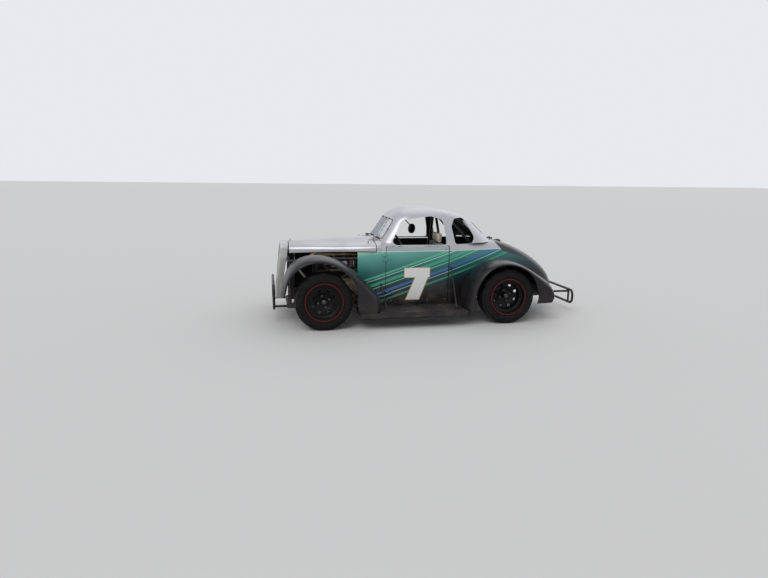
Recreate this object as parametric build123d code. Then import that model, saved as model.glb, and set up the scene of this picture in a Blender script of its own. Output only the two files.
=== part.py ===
# Small coupe stock car on a tube chassis, 5/8 of the size of a 1930s road coupe.
# Millimetres. X is across with the left side at +X, the nose points along -Y, Z is up.
# The origin lies on the ground under the middle of the car's box.
from build123d import *
import math
import os

os.makedirs("parts", exist_ok=True)

# Overall sizes
half_length = 1620.0
wheelbase = 1855.0
front_axle_y = -1145.0
rear_axle_y = front_axle_y + wheelbase
tyre_radius = 276.0
tyre_width = 205.0
tyre_face_x = 700.0          # outer face of each tyre, from the middle of the car
hub_z = tyre_radius
seat_gap = 0.3               # gap left where one piece seats on another
panel_gap = 5.5              # gap all round a door, hood or lid

# Wheels
bead_radius = 168.0
flange_radius = 184.0
rim_width = 190.0
rim_wall = 5.0
front_disc_inset = 65.0      # from the rim's outer edge to the wheel disc
rear_disc_inset = 105.0
disc_wall = 6.0
spindle_radius = 15.0
bearing_gap = 0.05
hub_radius = 30.0
brake_radius = 105.0
brake_wall = 9.0
slot_count = 8
slot_radius = 15.0
slot_circle = 112.0

# Body shell
shell_wall = 5.0
door_wall = 28.0
tail_bottom = 205.0
cowl_front_y = -783.0        # front edge of the cowl side panels
hood_rear_y = -592.0
hood_edge_z = 711.0
cowl_taper = 44.0            # each cowl side panel leans in this much at its front edge
knee_y = 165.0               # where the sides start to taper in
arch_rear_y = rear_axle_y - 32
arch_rear_radius = 345.0
arch_z = 262.0

# Lower body: height, rear end, half width at the door, half width at the tail, tail corner radius
lower_sections = [
    (170, 1372, 405, 300, 150),
    (330, 1402, 415, 310, 165),
    (460, 1335, 420, 300, 165),
    (570, 1225, 424, 285, 165),
    (652, 1105, 426, 268, 160),
    (727, 955, 424, 250, 150),
    (792, 770, 412, 235, 140),
]
# Upper body: height, windscreen face, rear end, half width, front corner radius, rear corner radius
upper_sections = [
    (792, -560, 702, 412, 130, 290),
    (829, -535, 652, 405, 140, 285),
    (900, -495, 574, 392, 150, 270),
    (971, -452, 500, 376, 155, 250),
    (1054, -398, 388, 346, 160, 220),
    (1094, -352, 282, 308, 160, 190),
    (1120, -300, 156, 250, 140, 150),
    (1134, -256, 62, 186, 110, 110),
    (1140, -208, -12, 114, 60, 66),
    (1142, -150, -72, 46, 24, 24),
]
front_share = 0.966          # the cab's width at the windscreen and at its back, as shares of its full width
rear_share = 0.927

# Windows, as corners (y, z) with a corner radius each
door_window = [(-395, 781, 22), (136, 781, 22), (128, 900, 60), (98, 1030, 70), (-20, 1062, 60),
               (-330, 1026, 80), (-432, 812, 30)]
quarter_window = [(232, 781, 30), (404, 781, 34), (441, 850, 60), (330, 1048, 55), (222, 1040, 36),
                  (192, 960, 60)]
screen_half_width = 300.0
screen_low_z = 840.0
screen_high_z = 1022.0
rear_window_half_width = 190.0
rear_window_low_z = 870.0
rear_window_high_z = 985.0
pane_wall = 4.0
barrel_radius = 6.0          # hinge barrels of the hood and the deck lid
hood_hinge_x = 200.0
hood_hinge_y = -597.0
hood_hinge_z = 838.0
lid_hinge_x = 120.0
lid_hinge_y = 797.0
lid_hinge_z = 797.0

# Doors, hinged along their front edges
door_front_y = -497.0
door_rear_y = 153.0
door_low_z = 186.0
door_high_z = 766.0
door_hinge_x = 434.0
hinge_pin_radius = 7.0
hinge_leaf = 34.0

# Hood: station, half width, lower edge, shoulder height, middle height
hood_sections = [
    (-1446, 192, 690, 742, 792),
    (-1150, 268, 703, 752, 807),
    (-850, 360, 716, 764, 816),
    (-598, 415, 719, 776, 829),
]
hood_wall = 4.0
hood_shoulder_radius = 46.0
# Cowl between the hood and the windscreen, the same columns
cowl_sections = [
    (-592, 419, 690, 776, 828),
    (-440, 410, 690, 798, 852),
]
cowl_end_y = -548.0          # the flat-topped lower body starts here, behind the cowl

# Deck lid in the tail
lid_front_y = 800.0
lid_rear_y = 1268.0
lid_half_front = 205.0
lid_half_rear = 165.0
lid_corner = 60.0

# Grille shell
grille_top_z = 792.0
grille_low_z = 205.0
grille_half_top = 192.0
grille_half_low = 118.0
grille_face_top_y = -1528.0
grille_face_low_y = -1592.0
grille_back_top_y = -1451.0
grille_back_low_y = -1532.0
grille_band = 34.0           # width of the shell's face round the opening
bar_count = 11
bar_wall = 5.0
bar_depth = 14.0

# Front fender: crest (y, z), lip (y, z), inner edge x, crest x, outer edge x, drop at the inner edge
front_fender_sections = [
    (-1545, 312, -1514, 322, 250, 440, 640, 12),
    (-1512, 480, -1478, 468, 262, 470, 690, 26),
    (-1420, 637, -1394, 588, 285, 500, 728, 40),
    (-1255, 704, -1240, 658, 310, 515, 738, 52),
    (-1060, 684, -1077, 640, 345, 530, 740, 50),
    (-880, 592, -935, 552, 362, 550, 740, 40),
    (-700, 420, -835, 385, 374, 580, 740, 28),
    (-590, 165.3, -787, 165.3, 378, 600, 738, 24),
]
# Rear fender, the same columns
rear_fender_sections = [
    (268, 150, 341, 150, 375, 590, 728, 14),
    (290, 318, 356, 318, 378, 580, 734, 18),
    (350, 475, 405, 450, 380, 565, 738, 24),
    (480, 592, 512, 564, 370, 560, 740, 30),
    (688, 638, 684, 607, 335, 560, 740, 34),
    (885, 582, 862, 553, 305, 545, 738, 34),
    (1085, 470, 976, 436, 275, 520, 728, 30),
    (1228, 345, 1024, 320, 255, 500, 706, 24),
    (1246, 205, 1024, 198, 250, 490, 690, 20),
]
fender_wall = 4.0

# Running boards
board_front_y = -806.0
board_rear_y = 262.0
board_top_z = 165.0
board_low_z = 115.0
board_inner_x = 424.0
board_outer_x = 738.0
board_wall = 4.0
stay_radius = 6.0
outrigger_z = 142.0          # middle of the flat bars that carry the boards

# Chassis
rail_high = 40.0
rail_wide = 40.0
rail_z = 150.0
rail_x = 330.0
front_rail_x = 215.0
floor_wall = 3.0
cage_radius = 17.0
front_tube_radius = 13.0
front_tube_y = -1440.0       # cross tube behind the grille
front_tube_z = 600.0
cowl_tube_y = -660.0
hoop_y = 175.0
hoop_top_z = 1068.0
front_hoop_y = -325.0
front_hoop_z = hoop_top_z - 8
roof_bar_x = 218.0
dash_bar_y = -492.0
dash_bar_radius = cage_radius - 2.2
bumper_radius = 12.7
tail_rail_x = 262.0
tail_rail_z = 240.0
rear_stub_z = 232.0

# Suspension and steering
kingpin_x = 548.0
ball_joint_rise = 75.0
arm_radius = 10.0
arm_pivot_x = 292.0
arm_spread = 100.0
upright_wall = 24.0
steer_arm_reach = 110.0        # ahead of the axle
tie_rod_z = 236.0
rack_radius = 12.0
rack_bore_gap = 0.05
spring_radius = 28.0
spring_eye = 11.0
damper_radius = 8.0
spring_low_x = 428.0
spring_top_x = 352.0
spring_top_z = 580.0
spring_seat_z = 192.0
lower_pivot_z = 178.0
upper_pivot_z = 352.0
pivot_bar_radius = 9.0
bracket_radius = 7.5
axle_radius = 32.0
axle_end_x = 478.0
axle_pad_z = 250.0
rear_tube_z = 606.0
cross_bar_set = 136.0        # from the axle back to the face that its cross bar seats on

# Engine
engine_front_y = -1190.0
engine_rear_y = -700.0
crankcase_low_z = 168.0
crankcase_high_z = 400.0
crankcase_half = 140.0
cylinder_half = 84.0
fin_count = 11
fin_wall = 3.5
fin_pitch = 12.0
cylinder_pitch = 105.0
head_high_z = 640.0

# Cockpit
seat_x = 170.0
seat_half = 155.0
seat_back_y = 112.0
seat_wall = 4.0
head_plate_y = seat_back_y + 14
dash_y = -399.0
wheel_ring_radius = 155.0
wheel_ring_tube = 11.0
steering_hub = (170.0, -300.0, 735.0)
column_tilt = 28.0           # the column's angle above level

# Mirror
mirror_centre = (250.0, -200.0, 932.0)
mirror_radius = 50.0
mirror_turn = 55.0           # degrees from facing straight back towards the left side
mirror_stalk_y = -282.0

upper_tube = ((262, front_axle_y, 640), (150, front_tube_y, front_tube_z))

nodes = {}


def mirrored(shape):
    """The same shape on the other side of the car."""
    return mirror(shape, about=Plane.YZ)


def both_sides(shape):
    return [shape, mirrored(shape)]


def box(low, high):
    """Box between two corners."""
    size = [b - a for a, b in zip(low, high)]
    return Pos(*low) * Box(*size, align=(Align.MIN, Align.MIN, Align.MIN))


def rod(start, end, radius):
    """Round bar between two points."""
    a, b = Vector(*start), Vector(*end)
    return Plane(origin=a, z_dir=b - a) * Cylinder(radius, (b - a).length,
                                                   align=(Align.CENTER, Align.CENTER, Align.MIN))


def bent_tube(points, bend, radius, closed=False):
    """Round tube along straight runs joined by bends."""
    path = FilletPolyline(*points, radius=bend, close=closed)
    start = Plane(origin=path @ 0, z_dir=path % 0)
    return sweep(start * Circle(radius), path=path)


def bar(start, end, wide, high):
    """Rectangular tube between two points, its width level."""
    a, b = Vector(*start), Vector(*end)
    along = (b - a).normalized()
    level = along.cross(Vector(0, 0, 1))
    if level.length < 1e-6:
        level = Vector(1, 0, 0)
    frame = Plane(origin=a, x_dir=level.normalized(), z_dir=along)
    return frame * Box(wide, high, (b - a).length, align=(Align.CENTER, Align.CENTER, Align.MIN))


def fused(pieces):
    total = pieces[0]
    for piece in pieces[1:]:
        total = total + piece
    return total


def rounded_face(corners):
    """Closed flat face through corners (u, v, radius)."""
    face = make_face(Polyline(*[(u, v) for u, v, r in corners], close=True))
    for u, v, radius in corners:
        if radius:
            corner = face.vertices().sort_by_distance((u, v, 0))[0]
            face = fillet([corner], radius)
            face = face if isinstance(face, Face) else face.faces()[0]
    return face


def side_cutter(corners, x_low, x_high):
    """Prism across the car, from a side-view outline of corners (y, z, radius)."""
    return extrude(Plane(origin=(x_low, 0, 0), x_dir=(0, 1, 0), z_dir=(1, 0, 0)) * rounded_face(corners),
                   x_high - x_low)


def front_cutter(corners, y_low, y_high):
    """Prism along the car, from a front-view outline of corners (x, z, radius)."""
    return extrude(Plane(origin=(0, y_high, 0), x_dir=(1, 0, 0), z_dir=(0, -1, 0)) * rounded_face(corners),
                   y_high - y_low)


def outline(half_corners, z):
    """Level face from corners (x, y, radius) of the right-hand half, mirrored."""
    ring = half_corners + [(-x, y, r) for x, y, r in reversed(half_corners)]
    return Pos(0, 0, z) * rounded_face(ring)


def lower_body(inset, skirt=0.0):
    """Solid of the lower body, drawn in and down by the inset; a skirt carries its lowest outline down."""
    front = cowl_front_y - 4 * abs(inset)
    faces = []
    for z, rear, half, tail_half, radius in lower_sections:
        corners = [(half - cowl_taper - inset, front, 6.0), (half - inset, hood_rear_y, 120.0),
                   (half - inset, knee_y, 300.0), (tail_half - inset, rear - inset, radius - inset)]
        faces.append(outline(corners, z - inset))
    solid = loft(faces)
    if skirt:
        solid += extrude(faces[0], amount=skirt, dir=(0, 0, -1))
    return solid


def upper_body(inset):
    """Solid of the cab, drawn in and down by the inset."""
    faces = []
    for z, front, rear, half, front_radius, rear_radius in upper_sections:
        largest = 0.9 * min(half * rear_share - inset, (rear - front) / 2 - inset)
        corners = [(half * front_share - inset, front + inset, min(front_radius - inset / 2, largest)),
                   (half * rear_share - inset, rear - inset, min(max(rear_radius - inset, 4.0), largest))]
        faces.append(outline(corners, z - inset))
    return loft(faces)


def crowned_form(sections, inset, front_y, deeper):
    """Loft of hood-shaped sections, drawn in by the inset, its front end moved to front_y."""
    faces = []
    for place, (y, half, low, shoulder, middle) in enumerate(sections):
        side = half - inset
        low_z = low - deeper
        crown = ThreePointArc((side, shoulder - inset), (0, middle - inset), (-side, shoulder - inset))
        edges = [Line((-side, low_z), (side, low_z)), Line((side, low_z), (side, shoulder - inset)), crown,
                 Line((-side, shoulder - inset), (-side, low_z))]
        face = make_face(edges)
        corners = face.vertices().sort_by(Axis.Y)[-2:]
        face = fillet(corners, hood_shoulder_radius - inset)
        face = face if isinstance(face, Face) else face.faces()[0]
        station = front_y if place == 0 else y
        faces.append(Plane(origin=(0, station, 0), x_dir=(1, 0, 0), z_dir=(0, -1, 0)) * face)
    return loft(faces)


def body_solid(inset):
    """Lower body, cowl and cab, drawn in by the inset; the cowl's front end stays open."""
    lower = lower_body(inset) - box((-wide, cowl_front_y - 60, hood_edge_z), (wide, cowl_end_y, 900))
    cowl_front = cowl_sections[0][0] - 2 * max(inset, 0)
    return lower + crowned_form(cowl_sections, inset, cowl_front, 2 * max(inset, 0)) + upper_body(inset)


wide = 500.0
far = 2000.0

# The body's outer form, its inner form, and thinner or thicker skins between
outer_form = body_solid(0)
skin = outer_form - body_solid(shell_wall)


def door_prism(gap):
    """Side prism of a door's outline; a gap makes the hole round it."""
    rear = door_rear_y + 1.5 * gap
    corners = [(door_front_y - gap, door_low_z - gap, 14), (rear, door_low_z - gap, 14),
               (rear, door_high_z + gap, 14), (door_front_y - gap, door_high_z + gap, 14)]
    return side_cutter(corners, 250, wide)


def lid_prism(gap):
    """Upright prism of the deck lid's outline."""
    corners = [(lid_half_front + gap, lid_front_y - gap, lid_corner),
               (lid_half_rear + gap, lid_rear_y + gap, lid_corner)]
    return extrude(outline(corners, 380), 500)


screen_top_half = screen_half_width - 35
screen_corners = [(-screen_half_width, screen_low_z, 30), (screen_half_width, screen_low_z, 30),
                  (screen_top_half, screen_high_z, 40), (-screen_top_half, screen_high_z, 40)]
screen_cut = front_cutter(screen_corners, -700, -400)
rear_window_corners = [(-rear_window_half_width, rear_window_low_z, 40),
                       (rear_window_half_width, rear_window_low_z, 40),
                       (rear_window_half_width - 20, rear_window_high_z, 40),
                       (-rear_window_half_width + 20, rear_window_high_z, 40)]
rear_window_cut = front_cutter(rear_window_corners, 380, 760)


def make_body_shell():
    """Cab, cowl sides, quarters and tail in one moulding, with its openings cut."""
    shell = skin
    shell -= box((-wide, cowl_front_y - 60, hood_edge_z), (wide, hood_rear_y, 900))
    shell -= box((-wide, cowl_front_y - 60, 0), (wide, cowl_front_y, 900))
    shell -= screen_cut
    shell -= rear_window_cut
    shell -= side_cutter(door_window, -wide, wide)
    shell -= side_cutter(quarter_window, -wide, wide)
    shell -= Pos(0, arch_rear_y, arch_z) * Rot(0, 90, 0) * Cylinder(arch_rear_radius - 12, 2 * wide)
    shell -= box((-wide, arch_rear_y, 0), (wide, far, tail_bottom))
    for side in (-1, 1):
        shell -= rod((side * tail_rail_x, 1300, rear_stub_z), (side * tail_rail_x, far, rear_stub_z),
                     bumper_radius + 2)
        shell -= box((side * tail_rail_x - 24, 1300, tail_rail_z - 24),
                     (side * tail_rail_x + 24, 1356, tail_rail_z + 24))
    shell -= lid_prism(panel_gap)
    for cutter in both_sides(door_prism(panel_gap)):
        shell -= cutter
    shell = max(shell.solids(), key=lambda s: s.volume)
    for x in (-hood_hinge_x, hood_hinge_x):
        for low in (-22.3, 10.3):
            end = x + low + 12
            shell += box((x + low, hood_hinge_y, hood_hinge_z - 6),
                         (end, hood_hinge_y + 25, hood_hinge_z + 5))
            shell += box((x + low, hood_hinge_y + 11, hood_hinge_z - 34),
                         (end, hood_hinge_y + 25, hood_hinge_z))
            shell += lid_barrel(x + low + 6, hood_hinge_y, hood_hinge_z, 12)
    for x in (-lid_hinge_x, lid_hinge_x):
        for low in (-22.3, 10.3):
            shell += box((x + low, lid_hinge_y - 30, lid_hinge_z - 12),
                         (x + low + 12, lid_hinge_y, lid_hinge_z))
            shell += lid_barrel(x + low + 6, lid_hinge_y, lid_hinge_z, 12)
    for hinge in make_door_hinges():
        shell = shell + hinge + mirrored(hinge)
    return max(shell.solids(), key=lambda s: s.volume)


def lid_barrel(x, y, z, long):
    """Hinge barrel across the car."""
    return Pos(x, y, z) * Rot(0, 90, 0) * Cylinder(barrel_radius, long)


def make_door():
    """Left door: the body's own curve, as thick as the whole door, with its hinge barrels."""
    thick = outer_form - body_solid(door_wall)
    panel = max((thick & door_prism(0)).solids(), key=lambda s: s.volume)
    leaves = []
    for z in (300, 660):
        knuckle = Pos(door_hinge_x, door_front_y, z) * Cylinder(hinge_pin_radius, hinge_leaf)
        leaf = box((door_hinge_x - 32, door_front_y, z - hinge_leaf / 2),
                   (door_hinge_x + 1, door_front_y + 46, z + hinge_leaf / 2))
        leaves += [knuckle, leaf]
    return fused([panel] + leaves)


def make_door_hinges():
    """Body halves of one door's hinges: barrels above and below the door's, and leaves to the cowl."""
    pieces = []
    for z in (300, 660):
        for side in (-1, 1):
            middle = z + side * (hinge_leaf / 2 + seat_gap + 9)
            barrel = Pos(door_hinge_x, door_front_y, middle) * Cylinder(hinge_pin_radius, 18)
            leaf = box((door_hinge_x - 24, door_front_y - 50, middle - 9),
                       (door_hinge_x - 1, door_front_y - 5, middle + 9))
            link = box((door_hinge_x - 5, door_front_y - 30, middle - 9),
                       (door_hinge_x + 4, door_front_y, middle + 9))
            pieces.append(barrel + leaf + link)
    return pieces


def make_hood():
    nose_y = hood_sections[0][0]
    outside = crowned_form(hood_sections, 0, nose_y, 0)
    shell = max((outside - crowned_form(hood_sections, hood_wall, nose_y, 20)).solids(),
                key=lambda s: s.volume)
    for x in (-hood_hinge_x, hood_hinge_x):
        shell += box((x - 10, hood_hinge_y - 5, hood_hinge_z - 28),
                     (x + 10, hood_hinge_y + 5, hood_hinge_z))
        shell += box((x - 10, hood_hinge_y - 44, hood_hinge_z - 28),
                     (x + 10, hood_hinge_y, hood_hinge_z - 16))
        shell += lid_barrel(x, hood_hinge_y, hood_hinge_z, 20)
    return shell


def make_deck_lid():
    lid = max((skin & lid_prism(0)).solids(), key=lambda s: s.volume)
    for x in (-lid_hinge_x, lid_hinge_x):
        lid += box((x - 10, lid_hinge_y, lid_hinge_z - 22), (x + 10, lid_hinge_y + 32, lid_hinge_z - 3))
        lid += lid_barrel(x, lid_hinge_y, lid_hinge_z, 20)
    return lid


def grille_outline(inset):
    """Front-view shield: narrow at the bottom, round at the top."""
    top = grille_top_z - inset
    low = grille_low_z + inset
    half_top = grille_half_top - inset
    half_low = grille_half_low - inset
    return [(half_low, low, 30), (half_top, 640, 120), (half_top - 2, top - 20, 44), (0, top, 0),
            (-half_top + 2, top - 20, 44), (-half_top, 640, 120), (-half_low, low, 30)]


def grille_slab(front_set, back_set):
    """Side-view slab that leans back towards the top."""
    corners = [(grille_face_low_y + front_set, 0, 0), (grille_face_low_y + front_set, grille_low_z, 0),
               (grille_face_top_y + front_set, grille_top_z + 10, 0),
               (grille_back_top_y + back_set, grille_top_z + 10, 0),
               (grille_back_low_y + back_set, grille_low_z, 0), (grille_back_low_y + back_set, 0, 0)]
    return side_cutter(corners, -wide, wide)


def make_grille_shell():
    """Shield-shaped shell round the opening, open at the back."""
    solid = front_cutter(grille_outline(0), -1700, -1300) & grille_slab(0, 0)
    front_edges = [e for e in solid.edges() if abs(e.center().Y - face_y(e.center().Z)) < 2.0]
    solid = fillet(front_edges, 16)
    solid -= front_cutter(grille_outline(grille_band), -1700, -1300)
    solid -= front_cutter(grille_outline(5), -1700, -1300) & grille_slab(22, 60)
    solid = max(solid.solids(), key=lambda s: s.volume)
    tube_front = front_tube_y - front_tube_radius - seat_gap
    for s in (-1, 1):
        solid += box((min(s * 112, s * 189), tube_front - 36, 585),
                     (max(s * 112, s * 189), tube_front - 30, 615))
        solid += box((min(s * 112, s * 124), tube_front - 36, 590),
                     (max(s * 112, s * 124), tube_front, 610))
    return solid


def face_y(z):
    """Y of the grille's sloping face at a height."""
    share = (z - grille_low_z) / (grille_top_z + 10 - grille_low_z)
    return grille_face_low_y + share * (grille_face_top_y - grille_face_low_y)


def make_grille_bars():
    """Upright bars in the opening on two cross bars, seated behind the shell's face."""
    opening = front_cutter(grille_outline(grille_band - 6), -1700, -1300)
    field = opening & grille_slab(22 + seat_gap, 22 + bar_depth - (grille_back_low_y - grille_face_low_y))
    pitch = 2 * (grille_half_top - grille_band) / (bar_count + 1)
    bars = [box((k * pitch - bar_wall / 2, -1700, 0), (k * pitch + bar_wall / 2, -1300, 900))
            for k in range(-(bar_count // 2), bar_count // 2 + 1)]
    cross = [box((-wide, -1700, z), (wide, -1300, z + 8)) for z in (330, 560)]
    return field & fused(bars + cross)


def fender_section(crest_y, crest_z, lip_y, lip_z, inner_x, crest_x, outer_x, drop):
    """Thin crowned section: inner curve, crest and a rolled outer side down to the lip."""
    down = Vector(0, lip_y - crest_y, lip_z - crest_z)
    depth = down.length
    roll = min(depth - 6.0, 74.0)
    plane = Plane(origin=(0, crest_y, crest_z), x_dir=(1, 0, 0),
                  z_dir=Vector(1, 0, 0).cross(down * -1).normalized())
    wall = fender_wall

    def crown(inset):
        inner = ThreePointArc((crest_x, -inset), ((crest_x + inner_x) / 2, -drop / 4 - inset),
                              (inner_x, -drop - inset))
        outer = EllipticalCenterArc((crest_x, -roll), outer_x - inset - crest_x, roll - inset, 0,
                                    arc_size=90)
        return inner, outer

    top_in, top_out = crown(0)
    low_in, low_out = crown(wall)
    edges = [top_in, top_out, Line((outer_x, -roll), (outer_x, -depth)),
             Line((outer_x, -depth), (outer_x - wall, -depth)),
             Line((outer_x - wall, -depth), (outer_x - wall, -roll)),
             low_out, low_in, Line((inner_x, -drop - wall), (inner_x, -drop))]
    return plane * make_face(edges)


def make_fender(sections):
    """Left fender, trimmed to the body's side."""
    fender = loft([fender_section(*row) for row in sections]) - lower_body(-2 * seat_gap, 30)
    return max(fender.solids(), key=lambda s: s.volume)


def fender_stay(row, share):
    """Round stay from a fender's inner edge at one section to the frame's upper tube, coped to fit it."""
    crest_y, crest_z, lip_y, lip_z, inner_x, crest_x, outer_x, drop = row
    up = Vector(0, crest_y - lip_y, crest_z - lip_z).normalized()
    edge = Vector(inner_x + 8, crest_y, crest_z) - up * (drop + fender_wall)
    back, front = Vector(*upper_tube[0]), Vector(*upper_tube[1])
    centre = back + (front - back) * share
    return rod(tuple(edge), tuple(centre), 7) - rod(*upper_tube, front_tube_radius + seat_gap)


def make_running_board():
    """Left board: top sheet with a turned-down outer edge, and its two stays up to the body."""
    top = box((board_inner_x, board_front_y, board_top_z - board_wall),
              (board_outer_x, board_rear_y, board_top_z))
    skirt = box((board_outer_x - board_wall, board_front_y, board_low_z),
                (board_outer_x, board_rear_y, board_top_z))
    inner = box((board_inner_x, board_front_y, outrigger_z + 6 + seat_gap),
                (board_inner_x + board_wall, board_rear_y, board_top_z))
    ribs = [box((board_inner_x, y, board_low_z + 12), (board_outer_x, y + board_wall, board_top_z))
            for y in (board_front_y, -500, -140, board_rear_y - board_wall)]
    board = fused([top, skirt, inner] + ribs)
    for y, low_x, high_x, high_z in ((-548, 640, 434, 385), (182, 640, 433, 545)):
        stay = rod((low_x, y + 22 * (y < 0) + 6 * (y > 0), board_top_z - 2), (high_x, y, high_z),
                   stay_radius)
        foot = Pos(low_x, y + 22 * (y < 0) + 6 * (y > 0), board_top_z + 2) * Cylinder(16, 8)
        head = Pos(high_x - 9, y, high_z) * Rot(0, 90, 0) * Cylinder(12, 28)
        board += (stay + foot + head) - body_solid(-seat_gap)
    return max(board.solids(), key=lambda s: s.volume)


def make_tyre(centre_x, axle_y):
    """Tyre turned about its axle: tread crown, shoulders, bulged sides and beads on the rim."""
    half = tyre_width / 2
    bead_half = rim_width / 2 - 9 - seat_gap
    bead = bead_radius + seat_gap
    section = [
        Line((bead, -bead_half), (bead, bead_half)),
        Line((bead, bead_half), (flange_radius + 2, bead_half)),
        ThreePointArc((flange_radius + 2, bead_half), (tyre_radius - 54, half),
                      (tyre_radius - 14, half - 14)),
        ThreePointArc((tyre_radius - 14, half - 14), (tyre_radius - 4, half - 22),
                      (tyre_radius, half - 36)),
        Line((tyre_radius, half - 36), (tyre_radius, -half + 36)),
        ThreePointArc((tyre_radius, -half + 36), (tyre_radius - 4, -half + 22),
                      (tyre_radius - 14, -half + 14)),
        ThreePointArc((tyre_radius - 14, -half + 14), (tyre_radius - 54, -half),
                      (flange_radius + 2, -bead_half)),
        Line((flange_radius + 2, -bead_half), (bead, -bead_half)),
    ]
    face = Plane(origin=(0, 0, 0), x_dir=(0, 0, 1), z_dir=(0, -1, 0)) * make_face(section)
    return Pos(centre_x, axle_y, hub_z) * revolve(face, axis=Axis.X)


def ring_about_x(profile):
    """Turned ring from closed corners (x, radius)."""
    face = make_face(Polyline(*[(x, r) for x, r in profile], close=True))
    return revolve(Plane(origin=(0, 0, 0), x_dir=(1, 0, 0), z_dir=(0, -1, 0)) * face, axis=Axis.X)


def make_wheel(centre_x, axle_y, disc_inset, hub_in):
    """Left steel wheel with its hub and brake disc, turned about the axle."""
    half = rim_width / 2
    bead = bead_radius
    well = bead - 26
    wall = rim_wall
    outside = [(half, flange_radius), (half - 7, flange_radius), (half - 9, bead), (half - 40, bead),
               (half - 56, well),
               (-half + 74, well), (-half + 40, bead), (-half + 9, bead), (-half + 7, flange_radius),
               (-half, flange_radius)]
    inside = [(-half, flange_radius - wall), (-half + 3, bead - wall), (-half + 40, bead - wall),
              (-half + 72, well - wall), (half - 54, well - wall), (half - 42, bead - wall),
              (half - 3, bead - wall),
              (half, flange_radius - wall)]
    barrel = ring_about_x(outside + inside)
    face = half - disc_inset
    seat = well - wall if disc_inset > 48 else bead - wall
    disc = ring_about_x([(face, spindle_radius + bearing_gap), (face, 72), (face + 12, 92),
                         (face + 12, seat + 1),
                         (face + 12 - disc_wall, seat + 1), (face + 12 - disc_wall, 92),
                         (face - disc_wall, 72),
                         (face - disc_wall, spindle_radius + bearing_gap)])
    cut = Rot(0, 90, 0) * Cylinder(slot_radius, 80)
    for k in range(slot_count):
        disc -= Rot((k + 0.5) * 360 / slot_count, 0, 0) * Pos(face, 0, slot_circle) * cut
    hub = ring_about_x([(face + 34, spindle_radius + bearing_gap), (face + 34, hub_radius - 6),
                        (face, hub_radius),
                        (hub_in, hub_radius), (hub_in, spindle_radius + bearing_gap)])
    brake = ring_about_x([(hub_in + 4, spindle_radius + bearing_gap), (hub_in + 4, brake_radius),
                          (hub_in + 4 + brake_wall, brake_radius),
                          (hub_in + 4 + brake_wall, spindle_radius + bearing_gap)])
    return Pos(centre_x, axle_y, hub_z) * (barrel + disc + hub + brake)


tyre_centre_x = tyre_face_x - tyre_width / 2
front_hub_in = -30.0
rear_hub_in = -62.0
hub_face = {True: tyre_centre_x + rim_width / 2 - front_disc_inset, False: tyre_centre_x + rim_width / 2
            - rear_disc_inset}


def make_knuckle():
    """Left knuckle: upright on the kingpin line, spindle through the hub, caliper and steering arm."""
    y, z = front_axle_y, hub_z
    upright = box((kingpin_x - upright_wall / 2, y - 26, z - ball_joint_rise - 4),
                  (kingpin_x + upright_wall / 2, y + 26, z + ball_joint_rise + 4))
    hub_back = tyre_centre_x + front_hub_in
    collar = rod((kingpin_x, y, z), (hub_back - 1, y, z), hub_radius)
    spindle = rod((kingpin_x, y, z), (hub_face[True] + 30, y, z), spindle_radius)
    arm = bar((kingpin_x, y - 10, tie_rod_z - 12),
              (kingpin_x - 28, y - steer_arm_reach - 14, tie_rod_z - 12), 26, 12)
    boss = Pos(kingpin_x - 28, y - steer_arm_reach, tie_rod_z - 12) * Cylinder(18, 12)
    caliper = box((hub_back - 16, y + 70, z - 40), (hub_back + 1, y + 118, z + 40))
    bridge = box((hub_back - 16, y + 20, z - 20), (kingpin_x + 4, y + 72, z + 20))
    return fused([upright, collar, spindle, arm, boss, caliper, bridge])


def make_front_arms():
    """Upper and lower wishbones of the left side, as two solids, bushed on the frame's pivot bars."""
    y, z = front_axle_y, hub_z
    arms = []
    for rise, inner_z in ((-1, lower_pivot_z), (1, upper_pivot_z)):
        tip = (kingpin_x - 18, y, z + rise * (ball_joint_rise + 20))
        pieces = [Pos(kingpin_x, y, z + rise * (ball_joint_rise + 4 + seat_gap + 11)) * Cylinder(15, 22),
                  rod(tip, (kingpin_x, y, z + rise * (ball_joint_rise + 17)), arm_radius)]
        for side in (-1, 1):
            start = (arm_pivot_x + 10, y + side * arm_spread, inner_z)
            bush = Pos(arm_pivot_x, y + side * arm_spread, inner_z) * Rot(90, 0, 0) * Cylinder(16, 30)
            pieces += [rod(start, tip, arm_radius), bush]
        if rise < 0:
            pieces.append(box((spring_low_x - 18, y - 62, lower_pivot_z - 6),
                              (spring_low_x + 18, y + 62, spring_seat_z)))
        arm = fused(pieces)
        arm -= rod((arm_pivot_x, y - 200, inner_z), (arm_pivot_x, y + 200, inner_z), pivot_bar_radius
                   + seat_gap)
        arms.append(arm)
    return arms


def coilover(low, high):
    """Damper and spring between two eyes, as one turned form."""
    a, b = Vector(*low), Vector(*high)
    along = (b - a).normalized()
    length = (b - a).length
    spring = rod(tuple(a + along * 52), tuple(a + along * (length - 44)), spring_radius)
    shaft = rod(low, high, damper_radius)
    collars = [rod(tuple(a + along * s), tuple(a + along * (s + 8)), spring_radius + 5)
               for s in (46, length - 48)]
    eyes = [Pos(*end) * Rot(90, 0, 0) * Cylinder(spring_eye, 26) for end in (low, high)]
    return fused([spring, shaft] + collars + eyes)


def make_coilovers():
    y = front_axle_y
    lift = spring_eye + seat_gap
    front = coilover((spring_low_x, y, spring_seat_z + lift), (spring_top_x, y, spring_top_z))
    rear = coilover((344, rear_axle_y + 56, axle_pad_z + lift),
                    (314, rear_axle_y + 80, rear_tube_z - 14 - lift))
    return both_sides(front) + both_sides(rear)


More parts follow.
